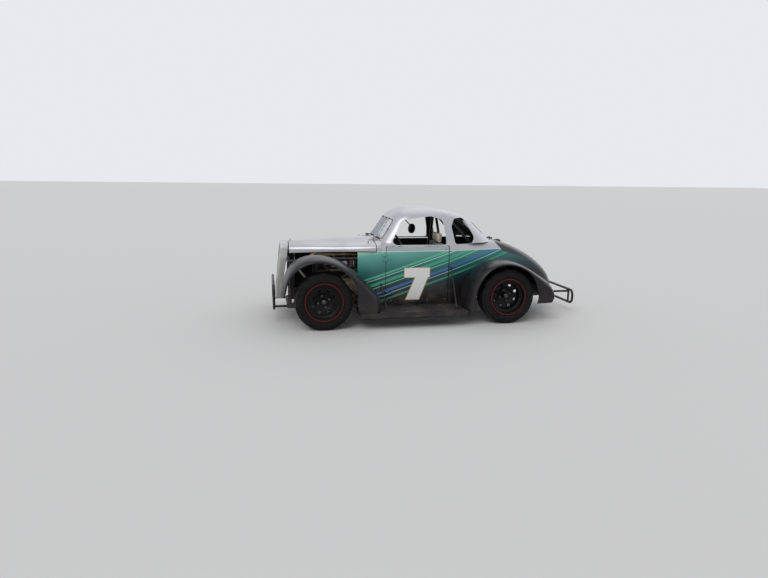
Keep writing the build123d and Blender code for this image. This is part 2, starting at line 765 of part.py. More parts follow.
def make_rear_axle():
    """Axle tube with its centre casing, nose and end spindles."""
    y, z = rear_axle_y, hub_z
    tube = rod((-axle_end_x, y, z), (axle_end_x, y, z), axle_radius)
    casing = Pos(0, y, z) * Rot(0, 90, 0) * Cylinder(108, 120)
    casing = fillet(casing.edges(), 24)
    nose = rod((0, y - 60, z), (0, y - 190, z), 44)
    cover = Pos(0, y + 96, z) * Rot(90, 0, 0) * Cylinder(72, 40)
    spindle = rod((-hub_face[False] - 30, y, z), (hub_face[False] + 30, y, z), spindle_radius)
    pads = [box((side * 353 - 31, y - 10, axle_pad_z - 28), (side * 353 + 31, y + 84, axle_pad_z))
            for side in (-1, 1)]
    pads.append(box((-323, y + 20, axle_pad_z - 18), (-296, y + cross_bar_set, axle_pad_z)))
    return fused([tube, casing, nose, cover, spindle] + pads)


def make_rear_links():
    """Trailing bars from the rails to the axle pads, and the cross bar that holds the axle sideways."""
    y, z = rear_axle_y, hub_z
    rail_face = rail_x + rail_wide / 2 + seat_gap
    line_x = rail_face + 19
    bars = []
    for side in (-1, 1):
        stub = rod((side * rail_face, 300, rail_z), (side * line_x, 300, rail_z), 11)
        bars.append(stub + rod((side * line_x, 295, rail_z), (side * line_x, y - 12.8, axle_pad_z - 16),
                               11))
    cross_y = y + cross_bar_set + seat_gap + 11
    cross = rod((-309, cross_y, axle_pad_z - 9), (tail_rail_x - 20 - 5, cross_y, 436), 11)
    return bars + [cross]


def make_frame():
    """Lower rails, front and rear frame, suspension towers and brackets, welded into one piece."""
    z = rail_z
    tail_x = tail_rail_x
    pieces = []
    for s in (-1, 1):
        pieces += [
            bar((s * rail_x, -700, z), (s * rail_x, 400, z), rail_wide, rail_high),
            bar((s * rail_x, -700, z), (s * front_rail_x, -900, z), rail_wide, rail_high),
            bar((s * front_rail_x, -880, z), (s * front_rail_x, -1470, z), rail_wide, rail_high),
            bar((s * rail_x, 385, z), (s * tail_x, 540, 440), rail_wide, rail_high),
            bar((s * tail_x, 520, 440), (s * tail_x, 850, 440), rail_wide, rail_high),
            bar((s * tail_x, 836, 448), (s * tail_x, 1060, tail_rail_z), rail_wide, rail_high),
            bar((s * tail_x, 1050, tail_rail_z), (s * tail_x, 1350, tail_rail_z), rail_wide, rail_high),
            rod((s * 262, front_axle_y + 20, z), (s * 262, front_axle_y + 20, 640), 15),
            rod((s * 262, front_axle_y - 20, z), (s * 262, front_axle_y - 20, 640), 15),
            rod((s * 330, cowl_tube_y, 640), (s * 262, front_axle_y, 640), front_tube_radius),
            rod((s * 262, front_axle_y, 640), (s * 150, front_tube_y, front_tube_z), front_tube_radius),
            Pos(s * 262, front_axle_y, 640) * Sphere(16.5),
            rod((s * 330, cowl_tube_y, 640), (s * 330, cowl_tube_y, z), front_tube_radius - 1),
            Pos(s * 330, cowl_tube_y, 640) * Sphere(15),
            rod((s * front_rail_x, front_tube_y, z), (s * 150, front_tube_y, front_tube_z),
                front_tube_radius - 1),
            Pos(s * 150, front_tube_y, front_tube_z) * Sphere(14.5),
            rod((s * 262, front_axle_y, 440), (s * front_rail_x, front_tube_y, z), front_tube_radius - 2),
            rod((s * 262, front_axle_y, 600), (s * 330, -690, z + 15), front_tube_radius - 2),
            box((min(s * 250, s * 372), front_axle_y - 24, spring_top_z + spring_eye + seat_gap),
                (max(s * 250, s * 372), front_axle_y + 24, spring_top_z + spring_eye + seat_gap + 8)),
            rod((s * 262, rear_axle_y + 88, 450), (s * 256, rear_axle_y + 80, rear_tube_z),
                front_tube_radius - 1),
        ]
        for pivot_z in (lower_pivot_z, upper_pivot_z):
            reach = arm_spread + 36
            pieces.append(rod((s * arm_pivot_x, front_axle_y - reach, pivot_z),
                              (s * arm_pivot_x, front_axle_y + reach, pivot_z),
                              pivot_bar_radius))
            for side in (-1, 1):
                end_y = front_axle_y + side * (reach - 8)
                if pivot_z == upper_pivot_z:
                    corner = (s * 262, end_y, pivot_z)
                    pieces.append(rod((s * 262, front_axle_y + side * 20, pivot_z), corner, bracket_radius
                                      + 0.5))
                    pieces.append(Pos(*corner) * Sphere(bracket_radius + 1.5))
                else:
                    corner = (s * front_rail_x, end_y, z + 7)
                pieces.append(rod(corner, (s * arm_pivot_x, end_y, pivot_z), bracket_radius))
    for y, x, high in ((-1460, front_rail_x, z), (-700, rail_x, z), (-200, rail_x, z), (60, rail_x, z),
                       (390, rail_x, z),
                       (830, tail_x, 440), (1335, tail_x, tail_rail_z)):
        pieces.append(bar((-x, y, high), (x, y, high), rail_wide * 0.8, rail_high * 0.8))
    pieces.append(rod((-150, front_tube_y, front_tube_z), (150, front_tube_y, front_tube_z),
                      front_tube_radius))
    pieces.append(rod((-318, rear_axle_y + 80, rear_tube_z), (318, rear_axle_y + 80, rear_tube_z),
                      front_tube_radius + 1))
    pieces.append(rod((-330, cowl_tube_y, 640), (330, cowl_tube_y, 640), front_tube_radius))
    # outriggers under the running boards
    for y in (-640, -330, 60, 240):
        for s in (-1, 1):
            pieces.append(bar((s * rail_x, y, outrigger_z), (s * 700, y, outrigger_z), 25, 12))
    return fused(pieces)


def make_cage():
    """Main hoop, front hoop, roof bars, door bars and rear braces."""
    r = cage_radius
    low = rail_z + rail_high / 2
    hoop = bent_tube([(-352, hoop_y, low), (-352, hoop_y, 800), (-262, hoop_y, hoop_top_z),
                      (262, hoop_y, hoop_top_z),
                      (352, hoop_y, 800), (352, hoop_y, low)], 90, r)
    right_half = [(-350, -505, low), (-338, -490, 790), (-235, front_hoop_y, front_hoop_z)]
    front = bent_tube(right_half + [(-x, y, z) for x, y, z in reversed(right_half)], 80, r)
    pieces = [hoop, front]
    for s in (-1, 1):
        pieces += [
            rod((s * roof_bar_x, front_hoop_y, front_hoop_z), (s * roof_bar_x, hoop_y, hoop_top_z), r - 1),
            rod((s * 352, hoop_y, 575), (s * 343, -496, 520), r - 1.5),
            rod((s * 352, hoop_y, 350), (s * 346, -501, 330), r - 1.5),
            rod((s * 195, hoop_y, hoop_top_z), (s * tail_rail_x, 740, 455), r - 1.2),
            rod((s * 341, -494, 640), (s * 330, cowl_tube_y - 4, 640), r - 4),
        ]
    pieces += [rod((-350, hoop_y, 650), (350, hoop_y, 650), r - 2.2),
               rod((-339, dash_bar_y, 700), (339, dash_bar_y, 700), dash_bar_radius),
               rod((-175, hoop_y, hoop_top_z), (340, hoop_y, 280), r - 2.8)]
    return fused(pieces) - frame


def make_floor():
    """Flat floor sheet under the rails, with its tunnel cut short of the axle."""
    return box((-400, -680, rail_z - rail_high / 2 - floor_wall), (400, 395, rail_z - rail_high / 2))


def make_firewall():
    """Bulkhead sheet between engine and cockpit, inside the cowl."""
    corners = [(-392, 175, 0), (392, 175, 0), (400, 640, 0), (392, 735, 30), (-392, 735, 30),
               (-400, 640, 0)]
    wall = front_cutter(corners, -612, -608)
    tunnel = box((-150, -700, 170), (60, -500, 330))
    shaft_hole = Pos(steering_hub[0], -610, 575) * Rot(90, 0, 0) * Cylinder(34, 40)
    wall = wall - tunnel - shaft_hole
    for s in (-1, 1):
        wall -= rod((s * 341, -494, 640), (s * 330, cowl_tube_y - 4, 640), cage_radius - 4 + seat_gap)
    return max(wall.solids(), key=lambda s: s.volume)


def make_dashboard():
    """Instrument panel with its top sheet, on two brackets from the dash bar."""
    corners = [(-366, 640, 0), (366, 640, 0), (366, 770, 24), (-366, 770, 24)]
    panel = front_cutter(corners, dash_y - 3, dash_y)
    top = box((-350, dash_y - 70, 766), (350, dash_y, 770))
    shelf = box((-305, dash_y - 128, 766), (305, dash_y - 69, 770))
    bar_back = dash_bar_y + dash_bar_radius + seat_gap
    brackets = [box((x - 10, bar_back, 696), (x + 10, dash_y, 704)) for x in (-200, 250)]
    return fused([panel, top, shelf] + brackets) - column_rod(17 + seat_gap)


def column_rod(radius):
    """Round bar along the steering column's line, from the wheel forward."""
    tilt = math.radians(column_tilt)
    hub = Vector(*steering_hub)
    return rod(tuple(hub - Vector(0, math.cos(tilt), math.sin(tilt)) * 300), tuple(hub), radius)


def make_bumper(y, half, low, high, tube_y_end, stub_z, stub_x):
    """Nerf bar: a rounded loop across the car, two uprights and two stubs back to the frame."""
    r = bumper_radius
    loop = bent_tube([(-half, y, low), (half, y, low), (half, y, high), (-half, y, high)], 55, r, True)
    pieces = [loop]
    for x in (-stub_x, stub_x):
        pieces.append(rod((x, y, low), (x, y, high), r - 2))
        pieces.append(rod((x, y, stub_z), (x, tube_y_end, stub_z), r - 1))
    return fused(pieces)


def make_engine():
    """Crankcase and gearbox in one casting, with its covers."""
    case = box((-crankcase_half, engine_front_y, crankcase_low_z),
               (crankcase_half, engine_rear_y, crankcase_high_z))
    case = chamfer(case.edges().filter_by(Axis.Y), 38)
    gearbox = box((-crankcase_half - 10, -980, crankcase_low_z + 10), (crankcase_half - 40, -640, 330))
    gearbox = chamfer(gearbox.edges().filter_by(Axis.Y), 24)
    sump = box((-70, -1120, crankcase_low_z - 26), (70, -820, crankcase_low_z + 20))
    covers = [Pos(0, engine_front_y, 300) * Rot(90, 0, 0) * Cylinder(82, 36),
              Pos(-60, -628, 262) * Rot(90, 0, 0) * Cylinder(40, 30)]
    foot_z = rail_z + rail_high / 2 + 14 + seat_gap
    mounts = [rod((s * 232, y, foot_z), (s * 100, y, foot_z), 14) for s in (-1, 1) for y in (-1060, -910)]
    return fused([case, gearbox, sump] + covers + mounts)


def make_cylinders():
    """Finned cylinders, head and cam cover."""
    middle = (engine_front_y + engine_rear_y) / 2
    half_long = 2 * cylinder_pitch + 14
    core = box((-cylinder_half + 16, middle - half_long + 10, crankcase_high_z),
               (cylinder_half - 16, middle + half_long - 10, head_high_z - 70))
    fins = [box((-cylinder_half, middle - half_long, crankcase_high_z + 14 + k * fin_pitch),
                (cylinder_half, middle + half_long, crankcase_high_z + 14 + k * fin_pitch + fin_wall))
            for k in range(fin_count)]
    cover = box((-cylinder_half - 6, middle - half_long + 6, head_high_z - 72),
                (cylinder_half + 6, middle + half_long - 6, head_high_z))
    cover = chamfer(cover.edges().filter_by(Axis.Y).sort_by(Axis.Z)[-2:], 26)
    valley = box((-24, middle - half_long, head_high_z - 14), (24, middle + half_long, head_high_z + 1))
    return fused([core] + fins + [cover - valley])


def make_carburettors():
    """Four carburettors with cone filters on the left of the head."""
    middle = (engine_front_y + engine_rear_y) / 2
    pieces = []
    for k in range(4):
        y = middle + (k - 1.5) * cylinder_pitch
        throat = rod((cylinder_half + 6 + seat_gap, y, 592), (cylinder_half + 100, y, 592), 25)
        bowl = Pos(cylinder_half + 60, y, 556) * Cylinder(21, 46)
        filter_cone = Plane(origin=(cylinder_half + 96, y, 592), z_dir=(1, 0, 0)) * Cone(
            30, 38, 48, align=(Align.CENTER, Align.CENTER, Align.MIN))
        pieces.append(throat + bowl + filter_cone)
    link = rod((cylinder_half + 50, middle - 1.5 * cylinder_pitch, 616),
               (cylinder_half + 50, middle + 1.5 * cylinder_pitch, 616), 6)
    return fused(pieces + [link])


def make_exhaust():
    """Four headers on the right, a collector and one pipe with a silencer outside the right rail."""
    middle = (engine_front_y + engine_rear_y) / 2
    start_x = -cylinder_half - 6 - seat_gap
    pieces = []
    for k in range(4):
        y = middle + (k - 1.5) * cylinder_pitch
        out = start_x - 84 - 5 * k
        pieces.append(bent_tube([(start_x, y, 600), (out, y, 600), (out - 12, y + 20, 400),
                                 (-200 - 5 * k, -820 + 3 * k, 226 + 6 * k)], 38, 16))
    pieces.append(rod((-206, -830, 244), (-208, -768, 112), 33))
    pieces.append(bent_tube([(-207.6, -782, 140), (-212, -720, 82), (-500, -420, 82), (-500, -160, 82)], 48,
                            22))
    pieces.append(rod((-500, -320, 82), (-500, 100, 82), 34))
    pieces.append(bent_tube([(-500, 80, 82), (-500, 180, 82), (-640, 240, 82)], 50, 22))
    return fused(pieces)


def make_oil_cooler():
    """Finned cooler behind the grille, on the front cross tube."""
    core = box((-135, -1432, 262), (135, -1392, 520))
    tanks = [box((-140, -1438, z), (140, -1386, z + 20)) for z in (246, 516)]
    brackets = [rod((s * 110, front_tube_y, 525),
                    (s * 110, front_tube_y, front_tube_z - front_tube_radius - seat_gap), 6)
                for s in (-1, 1)]
    return fused([core] + tanks + brackets)


def make_propshaft():
    """Shaft between a flange on the gearbox and one on the axle's nose."""
    y = rear_axle_y - 190 - seat_gap
    start_y = -613 + seat_gap
    shaft = rod((-60, start_y + 8, 262), (0, y - 8, hub_z), 23)
    flanges = [Pos(-60, start_y + 8, 262) * Rot(90, 0, 0) * Cylinder(34, 16),
               Pos(0, y - 8, hub_z) * Rot(90, 0, 0) * Cylinder(34, 16)]
    return fused([shaft] + flanges)


def make_fuel_tank():
    """Fuel cell on two cross straps over the tail rails."""
    base = tail_rail_z + rail_high / 2 + seat_gap
    tank = box((-200, 1070, base + 8), (200, 1290, base + 180))
    tank = fillet(tank.edges().filter_by(Axis.X), 26)
    cross = [box((-tail_rail_x, y, base), (tail_rail_x, y + 24, base + 8)) for y in (1080, 1256)]
    return fused([tank] + cross)


def make_seat_shell():
    """Sheet aluminium seat: side-view path made thick, with raised sides."""
    outer = [(-250, 190, 30), (seat_back_y - 30, 178, 60), (seat_back_y + 30, 780, 40),
             (seat_back_y - 40, 786, 10),
             (seat_back_y - 110, 420, 80), (-130, 330, 60), (-262, 320, 20)]
    hollow = [(-300, 204, 10), (seat_back_y - 44, 192, 60), (seat_back_y + 14, 830, 10),
              (seat_back_y - 200, 830, 10),
              (-300, 700, 10)]
    solid = side_cutter(outer, seat_x - seat_half, seat_x + seat_half)
    solid -= side_cutter(hollow, seat_x - seat_half + seat_wall, seat_x + seat_half - seat_wall)
    seat_rail = rail_z + 0.4 * rail_high + seat_gap
    mounts = [box((seat_x - seat_half + 10, y - 14, seat_rail), (seat_x + seat_half - 20, y + 14, 194))
              for y in (-200, 60)]
    head_plate = box((seat_x - 60, head_plate_y, 690), (seat_x + 60, head_plate_y + seat_wall, 872))
    return fused([max(solid.solids(), key=lambda s: s.volume), head_plate] + mounts)


def make_seat_pad():
    """Cushion and back pad inside the shell."""
    corners = [(-240, 209, 10), (seat_back_y - 62, 200, 40), (seat_back_y - 2, 772, 12),
               (seat_back_y - 34, 772, 12),
               (seat_back_y - 96, 262, 50), (-240, 250, 16)]
    inside = seat_half - seat_wall - seat_gap
    return side_cutter(corners, seat_x - inside, seat_x + inside)


def make_headrest():
    back = head_plate_y - seat_gap
    return box((seat_x - 95, back - 52, 790), (seat_x + 95, back, 880))


def make_steering_wheel():
    """Ring, spokes, hub and shaft along the column's line."""
    tilt = math.radians(column_tilt)
    toward = (0, math.cos(tilt), math.sin(tilt))
    plane = Plane(origin=steering_hub, x_dir=(1, 0, 0), z_dir=toward)
    ring = Torus(wheel_ring_radius, wheel_ring_tube)
    pieces = [ring, Pos(0, 0, -22) * Cylinder(30, 12)]
    for angle in (90, 210, 330):
        pieces.append(Rot(0, 0, angle) * Pos(wheel_ring_radius / 2, 0, -12) * Rot(0, -7,
                0) * Box(wheel_ring_radius - 8, 24, 4))
    shaft = Pos(0, 0, -120) * Cylinder(9.5, 200)
    return plane * fused(pieces + [shaft])


def make_column():
    """Bearing tube on the dash bar, and the lower shaft down to the rack's pinion."""
    tilt = math.radians(column_tilt)
    toward = Vector(0, math.cos(tilt), math.sin(tilt))
    hub = Vector(*steering_hub)
    plane = Plane(origin=hub - toward * 140, x_dir=(1, 0, 0), z_dir=toward)
    sleeve = plane * (Cylinder(17, 90) - Cylinder(9.5 + bearing_gap, 90))
    joint = hub - toward * 236
    arm = box((hub.X - 10, dash_bar_y + dash_bar_radius + seat_gap, 676), (hub.X + 10, -432, 704))
    pinion = (190, front_axle_y - steer_arm_reach + 32.3, 271)
    lower = rod(tuple(joint), pinion, 9)
    knuckle = rod(tuple(joint - toward * 16), tuple(joint + toward * 12), 16)
    return [sleeve + arm - plane * Cylinder(9.5 + bearing_gap, 200), lower + knuckle]


def make_rack_housing():
    """Rack tube across the frame behind the axle, bored for the rack bar, with the pinion box."""
    y = front_axle_y - steer_arm_reach
    tube = rod((-222, y, tie_rod_z + 14), (222, y, tie_rod_z + 14), 20)
    box_part = box((165, y - 24, tie_rod_z - 8), (212, y + 28, tie_rod_z + 46))
    feet = [box((s * 201 - 9, y - 7, rail_z + rail_high / 2 + seat_gap),
                (s * 201 + 9, y + 7, tie_rod_z + 10))
            for s in (-1, 1)]
    bore = rod((-260, y, tie_rod_z + 14), (260, y, tie_rod_z + 14), rack_radius + rack_bore_gap)
    return fused([tube, box_part] + feet) - bore


def make_tie_rods():
    """Rack bar with a tie rod and rod end each side, sliding across the car."""
    y = front_axle_y - steer_arm_reach
    z = tie_rod_z + 14
    end_x = kingpin_x - 28
    barrel = rod((-end_x, y, z), (end_x, y, z), rack_radius)
    ends = [Pos(s * end_x, y, z) * Cylinder(15, 16) for s in (-1, 1)]
    return fused([barrel] + ends)


def make_mirror():
    """Round mirror turned towards the driver's side, on a stalk from a roof bar."""
    share = (mirror_stalk_y - front_hoop_y) / (hoop_y - front_hoop_y)
    bar_under = front_hoop_z + share * (hoop_top_z - front_hoop_z) - cage_radius + 1 - seat_gap
    head = Pos(*mirror_centre) * Rot(0, 0, -mirror_turn) * Rot(90, 0, 0) * Cylinder(mirror_radius, 12)
    pad = Pos(roof_bar_x, mirror_stalk_y, bar_under - 5) * Cylinder(8, 10)
    stalk = rod((mirror_centre[0], mirror_centre[1], mirror_centre[2] + 20),
                (roof_bar_x, mirror_stalk_y, bar_under - 6), 5)
    return head + pad + stalk


def make_windscreen():
    pane = (outer_form - body_solid(pane_wall)) & screen_cut
    return max(pane.solids(), key=lambda s: s.volume)


def make_rear_window():
    pane = (outer_form - body_solid(pane_wall)) & rear_window_cut
    return max(pane.solids(), key=lambda s: s.volume)


def add(name, shape):
    """Keep a node and write its file."""
    parts = shape if isinstance(shape, list) else [shape]
    solids = [s for p in parts for s in p.solids()]
    nodes[name] = solids
    export_step(solids[0] if len(solids) == 1 else Compound(children=solids), "parts/%s.step" % name)


frame = make_frame()
add("frame_rails", frame)
add("roll_cage", make_cage())
add("floor_pan", make_floor())
add("firewall", make_firewall())
add("dashboard", make_dashboard())
add("body_shell", make_body_shell())
door = make_door()
add("door_left", door)
add("door_right", mirrored(door))
add("hood", make_hood())
add("deck_lid", make_deck_lid())
add("grille_shell", make_grille_shell())
add("grille_bars", make_grille_bars())
add("windscreen", make_windscreen())
add("rear_window", make_rear_window())
for name, sections in (("front_fender", front_fender_sections), ("rear_fender", rear_fender_sections)):
    fender = make_fender(sections)
    if name == "front_fender":
        fender += fender_stay(sections[3], 0.373) + fender_stay(sections[2], 0.932)
    add(name + "_left", fender)
    add(name + "_right", mirrored(fender))
board = make_running_board()
add("running_board_left", board)
add("running_board_right", mirrored(board))
add("front_bumper", make_bumper(-half_length + bumper_radius, 350, 148, 384, -1476 - seat_gap, rail_z,
                                front_rail_x))
add("rear_bumper", make_bumper(half_length - bumper_radius, 350, 112, 252, 1351 + seat_gap, rear_stub_z,
                               tail_rail_x))
add("crankcase", make_engine())
add("cylinders", make_cylinders())
add("carburettors", make_carburettors())
add("exhaust", make_exhaust())
add("oil_cooler", make_oil_cooler())
add("propshaft", make_propshaft())
add("rear_axle", make_rear_axle())
add("rear_links", make_rear_links())
arms = make_front_arms()
add("front_arms", arms + [mirrored(a) for a in arms])
add("coilovers", make_coilovers())
add("rack_housing", make_rack_housing())
add("tie_rods", make_tie_rods())
knuckle = make_knuckle()
add("knuckle_left", knuckle)
add("knuckle_right", mirrored(knuckle))
for end, axle_y, inset, hub_in in (("front", front_axle_y, front_disc_inset, front_hub_in),
                                   ("rear", rear_axle_y, rear_disc_inset, rear_hub_in)):
    tyre = make_tyre(tyre_centre_x, axle_y)
    wheel = make_wheel(tyre_centre_x, axle_y, inset, hub_in)
    add("tyre_%s_left" % end, tyre)
    add("tyre_%s_right" % end, mirrored(tyre))
    add("wheel_%s_left" % end, wheel)
    add("wheel_%s_right" % end, mirrored(wheel))
add("steering_wheel", make_steering_wheel())
add("steering_column", make_column())
add("seat_shell", make_seat_shell())
add("seat_pad", make_seat_pad())
add("headrest", make_headrest())
add("fuel_tank", make_fuel_tank())
add("mirror", make_mirror())
print(len(nodes), "nodes", sum(len(s) for s in nodes.values()), "solids")
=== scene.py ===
# %% [markdown]
# # A small coupe stock car
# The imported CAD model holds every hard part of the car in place. This lesson gives those parts their
# finishes, and adds what is too fine for CAD: tyre treads, coil springs, wheel nuts, padding, leads and
# bolts. Lengths are metres, the nose points along -Y, the driver's left is +X and Z is up.

import math

import bmesh
import bpy
import numpy as np
from mathutils import Matrix, Vector
from mathutils.bvhtree import BVHTree


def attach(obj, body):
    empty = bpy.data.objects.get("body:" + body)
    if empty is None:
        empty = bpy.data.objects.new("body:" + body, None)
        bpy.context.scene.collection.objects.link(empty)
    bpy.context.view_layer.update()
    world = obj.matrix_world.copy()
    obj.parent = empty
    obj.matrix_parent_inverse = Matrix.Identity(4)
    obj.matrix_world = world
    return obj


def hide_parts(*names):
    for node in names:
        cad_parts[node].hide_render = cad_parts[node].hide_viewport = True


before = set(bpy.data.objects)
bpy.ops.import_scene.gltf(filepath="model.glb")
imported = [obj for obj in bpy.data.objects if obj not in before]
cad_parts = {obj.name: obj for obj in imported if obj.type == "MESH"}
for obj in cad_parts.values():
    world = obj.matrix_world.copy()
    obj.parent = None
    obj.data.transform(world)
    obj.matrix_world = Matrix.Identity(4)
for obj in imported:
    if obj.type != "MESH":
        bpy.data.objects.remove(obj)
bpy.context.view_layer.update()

# %% [markdown]
# ## Materials as arithmetic
# A finish is a recipe of masks: height above the road, distance from an axle, a noise. Written as nodes
# such a recipe is hard to read, so a small class wraps a socket and lets Python's own operators add the
# nodes.

# %% Values and paints


class Value:
    """One number inside a material. Arithmetic on it adds Math nodes."""

    def __init__(self, paint, socket):
        self.paint = paint
        self.socket = socket

    def maths(self, operation, *others):
        inputs = dict(enumerate((self, *others)))
        return self.paint.node("ShaderNodeMath", {"operation": operation}, inputs)

    def __add__(self, other):
        return self.maths("ADD", other)

    __radd__ = __add__

    def __sub__(self, other):
        return self.maths("SUBTRACT", other)

    def __rsub__(self, other):
        return self.maths("MULTIPLY_ADD", -1.0, other)

    def __mul__(self, other):
        return self.maths("MULTIPLY", other)

    __rmul__ = __mul__

    def larger(self, other):
        return self.maths("MAXIMUM", other)

    def smaller(self, other):
        return self.maths("MINIMUM", other)

    def size(self):
        return self.maths("ABSOLUTE")

    def step(self, low, high):
        """0 below low, 1 above high, and a smooth rise between."""
        return self.paint.node("ShaderNodeMapRange", {"interpolation_type": "SMOOTHSTEP"},
                               {"Value": self, "From Min": low, "From Max": high})


class Paint:
    """A material under construction, round one Principled shader."""

    def __init__(self, name, **sockets):
        self.material = bpy.data.materials.new(name)
        self.material.use_nodes = True
        self.tree = self.material.node_tree
        self.shader = self.tree.nodes["Principled BSDF"]
        self.set(**sockets)

    def set(self, **sockets):
        """Sets the shader's sockets; base_color stands for Base Color."""
        for key, value in sockets.items():
            self.feed(self.shader.inputs[key.replace("_", " ").title().replace("Ior", "IOR")], value)

    def feed(self, socket, value):
        """Links a Value to a socket, or sets the socket to a plain number or colour."""
        if isinstance(value, Value):
            self.tree.links.new(value.socket, socket)
        elif socket.type == "RGBA":
            socket.default_value = (*value, 1.0)
        else:
            socket.default_value = value

    def node(self, kind, settings=None, inputs=None, output=0):
        """Adds any node: its settings first, then the values or links of its sockets."""
        made = self.tree.nodes.new(kind)
        for key, value in (settings or {}).items():
            setattr(made, key, value)
        for key, value in (inputs or {}).items():
            self.feed(made.inputs[key], value)
        return Value(self, made.outputs[output])

    def numbers(self, vector):
        """The three numbers of a vector."""
        return [self.node("ShaderNodeSeparateXYZ", None, {0: vector}, k) for k in range(3)]

    def place(self):
        """The point on the piece, as three values."""
        return self.numbers(self.node("ShaderNodeTexCoord", output="Object"))

    def facing(self):
        """The surface's direction, as three values."""
        return self.numbers(self.node("ShaderNodeNewGeometry", output="Normal"))

    def noise(self, scale, detail=3.0, roughness=0.55):
        """A cloud of values about 0.5; scale is in bumps a metre."""
        return self.node("ShaderNodeTexNoise", None,
                         {"Vector": self.node("ShaderNodeTexCoord", output="Object"), "Scale": scale,
                          "Detail": detail, "Roughness": roughness})

    def mix(self, share, first, second):
        """The first colour where share is 0, the second where it is 1."""
        return self.node("ShaderNodeMix", {"data_type": "RGBA"}, {0: share, 6: first, 7: second}, 2)

    def ramp(self, value, stops):
        """Colour along a ramp of (place, colour) stops."""
        made = self.tree.nodes.new("ShaderNodeValToRGB")
        elements = made.color_ramp.elements
        while len(elements) < len(stops):
            elements.new(0.5)
        for element, (place, shade) in zip(elements, stops):
            element.position = place
            element.color = (*shade, 1.0)
        self.feed(made.inputs[0], value)
        return Value(self, made.outputs[0])

    def bump(self, height, distance, strength=1.0):
        self.feed(self.shader.inputs["Normal"], self.node(
            "ShaderNodeBump", None, {"Height": height, "Distance": distance, "Strength": strength}))


def screen(red, green, blue):
    """A colour as a screen shows it, 0 to 255, turned into the linear light that shaders take."""
    return tuple(v / 255 / 12.92 if v < 10.3 else ((v / 255 + 0.055) / 1.055) ** 2.4
                 for v in (red, green, blue))


# %% [markdown]
# ## A worn finish
# Paint on a race car is seldom even. Three masks are enough: road dust that thickens towards the ground,
# pale scuffs where a broad noise meets a fine one, and a slow drift of gloss. All the finishes in the table
# below start here.

# %% The worn finish
dust_shade = screen(128, 116, 102)


def worn(name, shade, roughness, metallic=0.0, coat=0.0, dust=0.25, scuff=0.15, scuff_shade=(110, 104, 100),
         grain=0.0, gloss=0.5):
    """Colour = shade, drifted by slow noise, then scuffed, then dusted more the lower the point lies."""
    paint = Paint(name, metallic=metallic, coat_weight=coat, coat_roughness=0.12, specular_ior_level=gloss)
    shade = screen(*shade)
    z = paint.place()[2]
    slow = paint.noise(3.5)
    fine = paint.noise(46, 5, 0.7)
    base = paint.mix(slow.step(0.3, 0.75) * 0.35, shade, tuple(0.55 * v for v in shade))
    scuffs = paint.noise(11, 6, 0.75).step(0.60, 0.68) * fine.step(0.42, 0.6) * scuff
    base = paint.mix(scuffs, base, screen(*scuff_shade))
    dusty = (1 - z.step(0.05, 0.55)) * paint.noise(7, 4).step(0.3, 0.75) * dust
    paint.set(base_color=paint.mix(dusty, base, dust_shade),
              roughness=(slow * 0.16 + roughness - 0.08 + scuffs * 0.5 + dusty * 0.6).smaller(1.0))
    if grain:
        paint.bump(fine, grain)
    return paint


